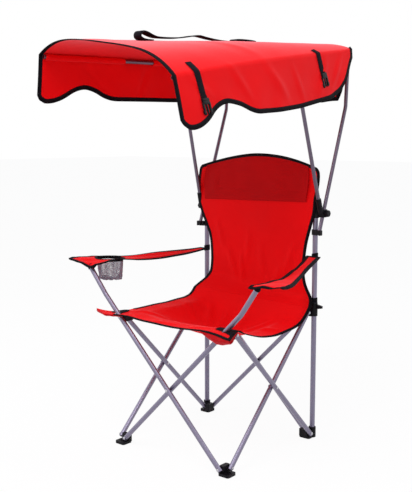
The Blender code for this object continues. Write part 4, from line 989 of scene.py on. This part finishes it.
def back_half(x_share, height):
    """Half of the back's width: it bulges over the left bracket, and low down on the right."""
    half = eased(BACK_HALF_WIDTHS, height, 0.022)
    if x_share < 0:
        return half + eased(BACK_LEFT_SPREAD, height, 0.01)
    (middle, reach), (low, run) = BACK_RIGHT_BULGE, REAR_SPREAD_RUN
    half += BACK_RIGHT_SPREAD * exp(-((height - middle) / reach) ** 2)
    return half + REAR_SPREAD * x_share ** 2 * max(0.0, 1 - max(0.0, height - low) / run) ** 1.5


def back_point(x_share, share):
    """A point of the back: across from -1 to 1, and from its bottom (0) to its top (1)."""
    low_y, low = seam(x_share)
    top = BACK_CORNER_HEIGHT + BACK_CROWN * (1 - abs(x_share) ** BACK_CROWN_POWERS[1 if x_share > 0 else -1])
    height = low + (top - low) * share
    lean = max(0.0, 1 - (height - low) / between(BACK_TURN["left"], BACK_TURN["right"], x_share))
    rise = clamp((height - BACK_FITTING_TOP) / BACK_FITTING_RUN)
    y = BACK_FITTING_Y + (BACK_TOP_Y - BACK_FITTING_Y) * rise - (BACK_FITTING_Y - low_y) * lean ** 2
    corner = max(0.0, share - 1 + BACK_CORNER_SHARE) / BACK_CORNER_SHARE
    return Vector((x_share * (back_half(x_share, height) - BACK_CORNER_CUT * corner ** 2), y, height))


BACK_CREASE = 2.6
BACK_RIDGES = (
    (-66, 175, -58, 60, 7, 3.6), (-130, 200, -85, 60, 10, 2.6), (45, 100, 70, 45, 7, 3),
    (110, 150, 70, 40, 9, 2.4), (-30, 260, -45, 130, 12, 2), (165, 240, 120, 110, 10, 2.2),
    (-180, 300, -140, 170, 10, 2), (20, 220, 30, 90, 12, 1.8), (80, 405, 130, 375, 8, 1.8),
    (-150, 480, -140, 390, 12, 2.2))


def back_creases(u, v, place):
    """The back's wrinkles: pressed soft creases low down, and a slight unevenness everywhere."""
    edge = min(1.0, v / 0.03) * (1 - clamp((place.z - HEADREST_SEAM + 0.02) / 0.02))
    return edge * (crumple((u, v, 1.0), 9.0, 0.0034, 5.0) - BACK_CREASE * ridges(u, v, BACK_RIDGES))


columns = shares(52, -1.0, 1.0)
rows = [[back_point(x, share) for x in columns] for share in shares(84)]
back = cloth_piece("back_cloth", [rows], red_cloth, BACK_BODY, back_creases)
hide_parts("back")


def on_back_rim(place):
    """Whether a place is on the back's sides or top, and not on its seam with the seat."""
    x_share = max(-1.0, min(1.0, place.x / back_half(1 if place.x > 0 else -1, place.z)))
    return place.z > seam(x_share)[1] + 0.0015 or abs(x_share) > 0.985


back_tape = bind(back, "back_binding", BACK_BODY, on_back_rim)
set_thickness(back)

# The headrest's darker red is partly its double layer and partly painted shade from the canopy.
headrest_cloth_and_shade = woven_cloth("red_polyester_double_layer_and_shade", HEADREST_RED_AND_SHADE, DEEP_RED_AND_SHADE)


def headrest_point(x_share, share):
    """A point of the headrest layer: it lies on the back's front face, from its seam to the top tape."""
    across = HEADREST_ENDS[0] + (HEADREST_ENDS[1] - HEADREST_ENDS[0]) * (x_share + 1) / 2
    low = HEADREST_SEAM + HEADREST_TILT * x_share
    bottom, top = back_point(across, 0.0).z, back_point(across, 1.0).z
    start, end = (low - bottom) / (top - bottom), 1 - (TAPE_WIDTH - 0.0005) / (top - bottom)
    at = back_point(across, start + (end - start) * share)
    return at - Vector((0.0, HEADREST_LIFT + (CLOTH - HEADREST_LIFT) * share ** 6, 0.0))


HEADREST_RIDGES = (
    (-186, 5, -188, 120, 10, 3.6), (60, 70, 130, 40, 12, 3), (90, 90, 150, 110, 12, 2.4),
    (-90, 100, -20, 110, 14, 1.8))


def headrest_creases(u, v, place):
    """The second layer's own wrinkles, and the soft puff between its seams."""
    inside = sin(pi * clamp(v / 0.15)) ** 0.6
    return -inside * (0.0025 + crumple((u, v, 4.0), 14.0, 0.0018, 9.0) + ridges(u, v, HEADREST_RIDGES))


rows = [[headrest_point(x, share) for x in shares(36, -1.0, 1.0)] for share in shares(24)]
headrest = cloth_piece("headrest_layer", [rows], headrest_cloth_and_shade, BACK_BODY, headrest_creases)
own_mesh(back)
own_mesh(headrest)


# Back pockets. Two red cloth sleeves sewn behind the back's upper corners and closed at the top.
# Each slips over an upright and carries the back.
POCKET_LOW = 0.885
POCKET_TOP = 0.929
POCKET_CLEARANCE = 0.0012


def upright_pocket(side, sign, body):
    """A sleeve round an upright, flat against the back's rear face and round behind the tube."""
    rings, uvs = [], []
    radius = UPRIGHT_RADIUS + POCKET_CLEARANCE
    front_y = BACK_TOP_Y + CLOTH / 2
    outline = [(-0.013, front_y - CORNER), (-0.0115, 0.0)]
    outline += [(-radius * cos(t), radius * sin(t)) for t in shares(10, 0.1, pi - 0.1)]
    outline += [(0.0105, 0.0), (0.0112, front_y - CORNER)]
    wall = [(x * 1.1, y + (0.0012 if y > -0.004 else 0.0)) for x, y in outline][::-1]
    for z in shares(10, POCKET_LOW, POCKET_TOP):
        wave = 1.0 + 0.05 * noise.noise(Vector((z * 60.0, sign * 4.0, 0.0)))
        ring = [Vector((sign * CORNER + x * sign * wave, CORNER + y * wave, z)) for x, y in outline + wall]
        rings.append(ring)
        uvs.append((z, [0.0015 * n for n in range(len(ring))]))
    return strip("upright_pocket_" + side, rings, uvs, red_cloth, body)


for side, sign in SIDES:
    upright_pocket(side, sign, "rear_" + side + "_upright")


# Seat. One sling of the same cloth, slung from the four seat corners: drawn tight along its front
# and left edges, and hanging lower on the right. It folds across its middle as the frame closes, so
# it is modelled in two halves that meet there.
SEAT_SLACK_X = 0.172
SEAT_FRONT_SAG = 0.011
SEAT_MIDDLE_SAG = 0.048
SEAT_HUB_Y = -0.194
SEAM_BLEND = 0.11
SEAT_REACH_Y = -0.2
SEAT_REACH_RUN = 0.062
SEAT_CORNER_X = 0.14
SEAT_CORNER_RUN = 0.12
POST_HOLE = 0.0105
SEAT_FRONT_EDGE_HEIGHT = 0.459


def seat_half(sign, y):
    """Half of the seat's width on its right (1) or left (-1): it widens to the front corners."""
    wide, run = SEAT_CORNERS[sign]
    return SEAT_HALF_WIDTH + (wide - SEAT_HALF_WIDTH) * max(0.0, 1 - (y - SEAT_FRONT_EDGE) / run) ** 1.5


def seat_point(x_share, y_left, y_right):
    """A point of the seat, on the line across it that ends at these places on its two side edges."""
    y = between(y_left, y_right, x_share)
    sign = 1 if x_share > 0 else -1
    low = back_point(x_share, 0.0)
    blend = clamp((y - low.y + SEAM_BLEND) / SEAM_BLEND) ** 1.3
    x = x_share * seat_half(sign, y) * (1 - blend) + low.x * blend
    forward = clamp((SEAT_REACH_Y - y) / SEAT_REACH_RUN) ** 1.3
    level = between(eased(SEAT_LEFT_EDGE, y_left, 0.012), eased(SEAT_RIGHT_EDGE, y_right, 0.02), x_share)
    slack = max(0.0, 1 - (x / SEAT_SLACK_X) ** 2)
    along = max(0.0, (y - SEAT_HUB_Y) / (seam(x_share)[0] - SEAT_HUB_Y))
    belly = max(0.0, sin(pi * min(1.0, along))) ** 0.8
    front = max(0.0, 1 - (y - SEAT_FRONT_EDGE) / abs(SEAT_FRONT_EDGE))
    level -= slack * (SEAT_MIDDLE_SAG * belly + SEAT_FRONT_SAG * front)
    level -= SEAT_CORNER_DROP[sign] * forward * clamp((abs(x) - SEAT_CORNER_X) / SEAT_CORNER_RUN)
    return Vector((x, y - forward * value_at(SEAT_REACH[sign], abs(x)), level))


SEAT_CREASE = 1.7
SEAT_RIDGES = (
    (-215, -205, -120, -120, 10, 2.6), (215, -205, 130, -110, 10, 2.6), (-130, 130, -60, 30, 10, 3),
    (-50, 150, -30, 50, 8, 2.8), (140, 140, 80, 50, 10, 3), (40, 160, 30, 60, 9, 2.4),
    (-200, 60, -110, 10, 10, 2.2), (205, 70, 120, 0, 11, 2.8), (-100, -240, 20, -225, 10, 1.6),
    (60, -235, 170, -215, 10, 1.8))


def seat_creases(u, v, place):
    """The seat's wrinkles, placed by where they are on it, so that its two halves agree."""
    x, y = place.x, place.y
    high = SEAT_CREASE * ridges(x, y, SEAT_RIDGES) + crumple((x, y, 2.0), 10.0, 0.0028, 6.0)
    return high * clamp((seam(max(-1.0, min(1.0, x / SEAT_HALF_WIDTH)))[0] - y) / 0.02)


def cut_hole(piece, centre, direction, radius, length):
    """Cut a round hole through a cloth, which is given its thickness first."""
    bpy.ops.mesh.primitive_cylinder_add(
        vertices=40, radius=radius, depth=length, location=centre + FEET_CENTRE,
        rotation=Vector(direction).to_track_quat("Z", "Y").to_euler())
    cutter = bpy.context.active_object
    cut = piece.modifiers.new("hole", "BOOLEAN")
    cut.operation = "DIFFERENCE"
    cut.object = cutter
    cut.solver = "EXACT"
    select_only(piece)
    for name in ("thickness", "hole"):
        if name in piece.modifiers:
            bpy.ops.object.modifier_apply(modifier=name)
    bpy.data.objects.remove(cutter)


front_steps = [SEAT_FRONT_EDGE * (1 - share) for share in shares(40)]
rows = [[seat_point(x, y, y) for x in columns] for y in front_steps]
seat_front = cloth_piece("seat_cloth_front", [rows], red_cloth, "seat_front_half", seat_creases)
rear_left, rear_right = SEAT_LEFT_EDGE[-1][0], SEAT_RIGHT_EDGE[-1][0]
rows = [[seat_point(x, share * rear_left, share * rear_right) for x in columns] for share in shares(34)]
seat_rear = cloth_piece("seat_cloth_rear", [rows], red_cloth, "seat_rear_half", seat_creases)
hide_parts("seat_front")
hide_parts("seat_rear")


def on_front_rim(place):
    """Whether a place is on the front half's edge, apart from its middle fold and its left corner's sides."""
    return (place.x > -0.236 or place.y > -0.165) and (place.y < -0.0015 or abs(place.x) > 0.2368)


front_tape = bind(seat_front, "seat_front_binding", "seat_front_half", on_front_rim)


def on_seat_side(place):
    """Whether a place is on one of the seat's two side edges, behind its middle fold."""
    edge = abs(seat_point(1 if place.x > 0 else -1, place.y, place.y).x)
    return abs(place.x) > edge - 0.0015 and place.y > -0.001


rear_tape = bind(seat_rear, "seat_rear_binding", "seat_rear_half", on_seat_side)
for (_, sign), plane in zip(SIDES, (OUTER_PLANE, INNER_PLANE)):
    slope = Vector((sign * 2 * PIVOT, 0.0, SPAN)).normalized()
    hub = Vector((sign * PIVOT, -plane, HUB_PIVOT_HEIGHT))
    at = hub + slope * ((SEAT_FRONT_EDGE_HEIGHT - HUB_PIVOT_HEIGHT) / slope.z)
    cut_hole(seat_front, at, slope, POST_HOLE, 0.05)
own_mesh(seat_front)
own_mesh(seat_rear)


# Seat corner fittings. Red cloth pockets are sewn under the seat's two front corners and hold the
# hubs, with a black patch stitched on top where the post comes through. At the rear a black webbing
# loop runs from each corner of the seat round its upright, just above the sliding hub.
# The pockets' red is darker than the seat's: painted shade under the seat's front edge.
POCKET_RED_PAINTED_SHADE = "#C00E18"
PATCHES = {"right": ((0.18, -0.226), (0.178, -0.168), (0.244, -0.172), (0.261, -0.243)),
           "left": ((-0.212, -0.242), (-0.214, -0.204), (-0.24, -0.204), (-0.256, -0.242))}
POCKET_DROPS = {"right": ((0.146, 0.003), (0.155, 0.016), (0.172, 0.03), (0.203, 0.036), (0.232, 0.031),
                          (0.262, 0.019), (0.284, 0.01)),
                "left": ((0.19, 0.002), (0.205, 0.006), (0.235, 0.01), (0.262, 0.011), (0.3, 0.015),
                         (0.343, 0.02))}
LOOP_WIDTH = 0.017
COLLAR_RISE = 0.032
PATCH_POINT = 0.01
POCKET_RETURN = 0.052


def seat_at(x, y):
    """A place on the seat's front half, from its place seen from above."""
    return seat_point(x / seat_half(1 if x > 0 else -1, y), y, y)


def patch_grid(corners, lift):
    """A four-cornered patch that lies on the seat, with a pointed middle to its rear edge."""
    rows = []
    for t in shares(12):
        row = []
        for k in shares(14):
            front = Vector(corners[0]) * (1 - k) + Vector(corners[3]) * k
            rear = Vector(corners[1]) * (1 - k) + Vector(corners[2]) * k
            rear.y += PATCH_POINT * (1 - abs(2 * k - 1))
            row.append(seat_at(*(front * (1 - t) + rear * t)) + Vector((0.0, 0.0, lift)))
        rows.append(row)
    return rows


def corner_pocket(side, sign):
    """The pocket under a front corner: an apron under the front edge that turns back beside the hub."""
    table = POCKET_DROPS[side]
    low, (high, high_drop) = table[0][0], table[-1]
    columns = [(x, SEAT_FRONT_EDGE + 0.0015, eased(table, x, 0.006)) for x in shares(34, low, high)]
    for y in shares(10, SEAT_FRONT_EDGE + 0.004, SEAT_FRONT_EDGE + POCKET_RETURN)[1:]:
        drop = 0.003 + high_drop * (1 - (y - SEAT_FRONT_EDGE) / POCKET_RETURN)
        columns.append((seat_half(sign, y) - 0.002, y, drop))
    rows = []
    for depth in shares(12):
        row = []
        for x, y, drop in columns:
            at = seat_at(sign * x, y)
            belly = 0.01 * sin(pi * depth) * min(1.0, drop / 0.02)
            back = 0.02 * depth ** 2 * min(1.0, drop / 0.02)
            at += Vector((0.0, back - belly * 0.4, -0.0005 - drop * depth))
            row.append(at)
        rows.append(row if sign > 0 else row[::-1])
    body = "front_" + side + "_hub"
    return cloth_piece("seat_corner_pocket_" + side, [rows], pocket_cloth_painted_shade, body,
                       lambda u, v, place: crumple(place, 34.0, 0.0032, 3.0 + sign))


def webbing_loop(name, sign, radius, level, width, body, sway=0.0):
    """Webbing round an upright: a band with its width upright."""
    rings, uvs = [], []
    steps = 36
    centre = Vector((sign * CORNER, CORNER, 0.0))
    for k in range(steps):
        turn = 2 * pi * k / steps
        out = Vector((cos(turn), sin(turn), 0.0))
        rings.append([centre + out * reach + Vector((0.0, 0.0, level + sway * cos(turn) + width * up))
                      for reach, up in ((radius, -0.5), (radius, 0.5), (radius + STRAP_THICKNESS, 0.46),
                                        (radius + STRAP_THICKNESS, -0.46))])
        uvs.append((radius * turn, (0.0, width, width, 0.0)))
    return strip(name, rings, uvs, webbing, body, True)


# Pocket cloth in a darker red, painted shade under the seat's corners, with the headrest's deep red that also
# holds painted shade.
pocket_cloth_painted_shade = woven_cloth("red_polyester_pocket_painted_shade", POCKET_RED_PAINTED_SHADE, DEEP_RED_AND_SHADE)
for side, sign in SIDES:
    pocket = corner_pocket(side, sign)
    rows = patch_grid(PATCHES[side], CLOTH + 0.0006)
    patch = cloth_piece("seat_corner_patch_" + side, [rows], webbing, "seat_front_half")
    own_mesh(patch)
    body = "rear_" + side + "_slider"
    level = HUB_PIVOT_HEIGHT + COLLAR_RISE + LOOP_WIDTH / 2 + 0.001
    webbing_loop("seat_loop_" + side, sign, UPRIGHT_RADIUS + 0.0006, level, LOOP_WIDTH, body)
    edge = SEAT_LEFT_EDGE[-1] if side == "left" else SEAT_RIGHT_EDGE[-1]
    start = Vector((sign * (back_half(sign, edge[1]) - 0.01), edge[0] + 0.003, edge[1] - 0.006))
    end = Vector((sign * (CORNER - 0.01), CORNER - 0.006, level))
    path = [start.lerp(end, t) + Vector((0.0, 0.0, 0.006 * sin(pi * t))) for t in shares(14)]
    along = (end - start).normalized()
    ways = [Vector((1.0, 0.0, 0.0)).slerp(Vector((0.0, 0.0, 1.0)), t ** 1.5) for t in shares(14)]
    across = [(way - along * along.dot(way)).normalized() for way in ways]
    normals = [-along.cross(way).normalized() for way in across]
    webbing_strip("seat_tie_" + side, path, normals, across, LOOP_WIDTH, body)


# Armrests. Each is one tapered piece of the red cloth. Its wide front is held up by the arm post in
# a pocket under it, and its rear end is tied round the upright with black webbing. The free front
# edge waves, and its tape with it.
ARM_TIP_X = {-1: 0.358, 1: 0.345}
ARM_TIP_HEIGHT = 0.607
ARM_BEND = (0.283, 0.517)
ARMREST_FRONT_Y = -0.27
ARMREST_REAR_Y = 0.2302
ARMREST_INNER = {
    -1: ((0.0, 0.325), (0.25, 0.315), (0.5, 0.294), (0.68, 0.262), (1.0, 0.2255)),
    1: ((0.0, 0.331), (0.2, 0.337), (0.5, 0.302), (0.68, 0.27), (1.0, 0.2125))}
ARMREST_OUTER = {
    -1: ((0.0, 0.4535), (0.1, 0.4535), (0.2, 0.443), (0.5, 0.366), (0.75, 0.309), (1.0, 0.264)),
    1: ((0.0, 0.4535), (0.1, 0.448), (0.2, 0.427), (0.5, 0.351), (0.75, 0.303), (1.0, 0.268))}
INNER_RISES = {
    -1: ((0.0, -0.007), (0.06, -0.009), (0.15, 0.003), (0.28, 0.003), (0.4, -0.0062), (0.55, -0.0092),
         (0.78, -0.002), (1.0, 0.012)),
    1: ((0.0, -0.0027), (0.26, -0.003), (0.4, -0.0105), (0.55, -0.001), (0.78, 0.0055), (1.0, 0.0225))}
OUTER_RISES = {
    -1: ((0.0, 0.01), (0.26, 0.0044), (0.4, 0.0012), (0.55, 0.002), (0.78, 0.0095), (1.0, 0.012)),
    1: ((0.0, 0.009), (0.26, -0.0035), (0.4, -0.007), (0.55, -0.008), (0.78, 0.0045), (1.0, 0.0235))}
ARMREST_LIFT = 0.0042
ARMREST_DROOP = 0.008
ARMREST_HEM = 0.007
ARM_LOOP_WIDTH = 0.021
ARMREST_ON_TIP = ARM_TIP_HEIGHT + TUBE_RADIUS * cos(pi / 4) + 0.001 + ARMREST_LIFT
ARM_TIE = {"left": (-0.244, 0.2302, 0.63), "right": (0.24, 0.2302, 0.64)}
ARMREST_TAPE_WIDTH = 0.0115
ARMREST_RIDGES = ((-30, 200, -6, 430, 8, 2.6), (26, 150, 8, 400, 8, 2.6))


def armrest_edges(sign, share):
    """How far out an armrest's inner and outer edges are, from its front (0) to its rear (1)."""
    return [eased(table[sign], share, 0.05) for table in (ARMREST_INNER, ARMREST_OUTER)]


def armrest_at(sign, x, y):
    """A place on an armrest from its distance out and its place along."""
    share = (y - ARMREST_FRONT_Y) / (ARMREST_REAR_Y - ARMREST_FRONT_Y)
    inner, outer = armrest_edges(sign, share)
    low, high = eased(INNER_RISES[sign], share, 0.06), eased(OUTER_RISES[sign], share, 0.06)
    over = (x - inner) / (outer - inner)
    droop = ARMREST_DROOP * max(0.0, 1 - share / 0.035) * max(0.0, 1 - over)
    hem = max(0.0, over - 0.9) / 0.1 if sign > 0 else 0.0
    droop += ARMREST_HEM * min(1.0, hem) ** 1.5 * max(0.0, 1 - share) ** 0.5
    return Vector((sign * x, y, ARMREST_ON_TIP + low + (high - low) * over - droop))


def armrest_creases(u, v, place):
    """An armrest's wrinkles: a wavy free front, and soft pulls that run towards the tie at the rear."""
    front = max(0.0, 1 - v / 0.1)
    rim = max(0.0, 1 - front - v / 0.4) * min(1.0, abs(u) / 0.06) ** 3
    high = crumple((place.x, v, 5.0), 30.0, 0.005, 8.0) * front
    high += crumple((place.x, v, 6.0), 12.0, 0.003, 4.0)
    high += crumple((0.0, v, 7.0), 55.0, 0.0034, 3.0) * rim
    return high + ridges(u, v, ARMREST_RIDGES)


for (side, sign), plane in zip(SIDES, (OUTER_PLANE, INNER_PLANE)):
    body = side + "_armrest"
    tip = Vector((sign * ARM_TIP_X[sign], -plane, ARM_TIP_HEIGHT))
    rows = []
    for share in shares(72):
        inner, outer = armrest_edges(sign, share)
        y = ARMREST_FRONT_Y + (ARMREST_REAR_Y - ARMREST_FRONT_Y) * share
        row = [armrest_at(sign, inner + (outer - inner) * x, y) for x in shares(26)]
        square = max(0.0, 1 - share / 0.04)
        row = [point + Vector((0.0, 0.01 * square * abs(2 * x - 1) ** 6, 0.0))
               for point, x in zip(row, shares(26))]
        rows.append(row if sign > 0 else row[::-1])
    armrest = cloth_piece("armrest_cloth_" + side, [rows], red_cloth, body, armrest_creases)
    arm_tape = bind(armrest, "armrest_binding_" + side, body, width=ARMREST_TAPE_WIDTH)
    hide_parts("armrest_" + side)
    if side == "left":
        left_rest, left_tape = armrest, arm_tape
    else:
        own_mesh(armrest)
    post = "front_tube_right_foot" if sign < 0 else "front_tube_left_foot"
    lean = Vector((ARM_TIP_X[sign] - ARM_BEND[0], ARM_TIP_HEIGHT - ARM_BEND[1])).normalized()
    way = Vector((sign * lean.x, 0.0, lean.y))
    back_way = Vector((0.0, 1.0, 0.0))
    rings, uvs = [], []
    for k, run in enumerate(shares(4, -0.009, 0.0045)):
        reach = (TUBE_RADIUS + 0.0022) * (1.0 if run < -0.001 else 0.82)
        ring = []
        for turn in shares(19, 0.0, 2 * pi * 19 / 20):
            out = back_way * cos(turn) + way.cross(back_way) * sin(turn)
            swell = 1 + 0.06 * noise.noise(Vector((turn, k * 0.7, sign)))
            ring.append(tip + way * run + out * (reach * swell))
        rings.append(ring)
        uvs.append((run, [0.0032 * n for n in range(20)]))
    strip("arm_post_pocket_" + side, rings, uvs, webbing, body_of_node[post])
    webbing_loop("armrest_loop_" + side, sign, UPRIGHT_RADIUS + 0.0005, ARM_TIE[side][2] + 0.001,
                 ARM_LOOP_WIDTH, "rear_" + side + "_upright", sway=0.002)


# Cup holder. A bag of grey polyester net hangs in a round hole in the left armrest. Black tape binds
# its rim, and the empty bag slumps: its lower part has creased and sunk in on itself.
NET_GREY = "#A9A4B2"
NET_SHADOW = "#7F7A8A"
CUP_X = 0.372
CUP_Y = -0.14
CUP_RADIUS = 0.0465
CUP_BASE_RADIUS = 0.0425
CUP_DEPTH = 0.078
NET_THREAD = 0.0012
NET_COLUMNS = 92
NET_ROWS = 58
BAG_REACH = 1.45


def polyester_net():
    """Grey knitted polyester net, soft and dull, with its threads a little darker in the hollows."""
    material, tree, coords = new_material("grey_polyester_net")
    place = coords["Object"]
    tone = add_node(tree, "TexNoise", {"Vector": place, "Scale": 45.0, "Detail": 3.0})
    colour = add_node(tree, "Mix", {0: tone, 6: NET_SHADOW, 7: NET_GREY}, data_type="RGBA")
    thread = add_node(tree, "TexNoise", {"Vector": place, "Scale": 1500.0, "Detail": 1.0})
    bump = add_node(tree, "Bump", {"Height": thread, "Strength": 0.4, "Distance": 0.0002})
    shader = add_node(tree, "BsdfPrincipled", {
        "Base Color": colour.outputs[2], "Roughness": 0.75, "Sheen Weight": 0.3, "Sheen Roughness": 0.5,
        "Normal": bump})
    add_node(tree, "OutputMaterial", {"Surface": shader})
    return material


def bag_point(turn, depth):
    """A point of the bag: round it, and down its wall (0 to 1) then in across its base (to BAG_REACH)."""
    rim = armrest_at(-1, CUP_X - CUP_RADIUS * cos(turn), CUP_Y + CUP_RADIUS * sin(turn)).z + 0.0005
    down = min(1.0, depth)
    radius = CUP_RADIUS + (CUP_BASE_RADIUS - CUP_RADIUS) * down - 0.0006
    inward = max(0.0, depth - 0.94) / 0.51
    radius *= cos(min(1.0, inward) * pi / 2) ** 0.7 if inward > 0 else 1.0
    low = CUP_DEPTH - 0.001 - 0.006 * max(0.0, 1 - inward) ** 4 * (1 if inward > 0 else 0)
    slump = max(0.0, down - 0.35) ** 1.2
    fold = noise.noise(Vector((2.3 * cos(turn), 2.3 * sin(turn), 3.4 * down)))
    ripple = noise.noise(Vector((5.0 * cos(turn), 5.0 * sin(turn), 9.0 * down + 4.0)))
    radius -= abs(fold) * 0.016 * slump + 0.003 * ripple * slump
    sink = rim - low * down + 0.01 * slump * max(0.0, fold) + 0.004 * inward
    return Vector((-CUP_X + radius * cos(turn), CUP_Y + radius * sin(turn), sink))


def net_bag(name, material):
    """The net: diamond meshes, each bounded by thread."""
    shape = bmesh.new()
    verts = []
    for r in range(NET_ROWS + 1):
        offset = 0.5 if r % 2 else 0.0
        turns = [2 * pi * (c + offset) / NET_COLUMNS for c in range(NET_COLUMNS)]
        verts.append([shape.verts.new(bag_point(turn, BAG_REACH * r / NET_ROWS)) for turn in turns])
    for r in range(NET_ROWS - 1):
        for c in range(NET_COLUMNS):
            left = (c - 1) % NET_COLUMNS if r % 2 == 0 else c
            right = c if r % 2 == 0 else (c + 1) % NET_COLUMNS
            shape.faces.new((verts[r][c], verts[r + 1][left], verts[r + 2][c], verts[r + 1][right]))
    bag = mesh_piece(name, shape, material, "left_armrest")
    threads = bag.modifiers.new("threads", "WIREFRAME")
    threads.thickness = NET_THREAD
    threads.use_even_offset = False
    threads.use_boundary = True
    bag.data.shade_flat()
    return bag


def cup_rim():
    """The tape round the hole: it lies on the armrest, turns over the edge and goes down inside."""
    rings, uvs = [], []
    steps = 72
    for k in range(steps):
        turn = 2 * pi * k / steps
        out = Vector((cos(turn), sin(turn), 0.0))
        ring = []
        for reach, lift in ((0.0085, 0.0007), (0.0085, 0.0016), (0.001, 0.0024), (-0.0012, 0.0016),
                            (-0.0018, -0.008), (-0.0006, -0.008), (0.0004, 0.0006)):
            x = CUP_X - (CUP_RADIUS + reach) * cos(turn)
            y = CUP_Y + (CUP_RADIUS + reach) * sin(turn)
            level = armrest_at(-1, x, y).z
            wave = 0.0004 * noise.noise(Vector((6 * cos(turn), 6 * sin(turn), 0.0)))
            ring.append(Vector((-CUP_X, CUP_Y, level + lift + wave)) + out * (CUP_RADIUS + reach))
        rings.append(ring)
        uvs.append((CUP_RADIUS * turn, (1.0, 1.0, 0.2, 0.0, 1.0, 1.0, 0.5)))
    return strip("cup_rim_tape", rings, uvs, tape, "left_armrest", True)


cut_hole(left_rest, Vector((-CUP_X, CUP_Y, ARM_TIP_HEIGHT)), (0, 0, 1), CUP_RADIUS, 0.12)
net = net_bag("cup_holder_net", polyester_net())
rim_tape = cup_rim()
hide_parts("cup_holder")
for piece in (left_rest, net, rim_tape):
    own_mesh(piece)
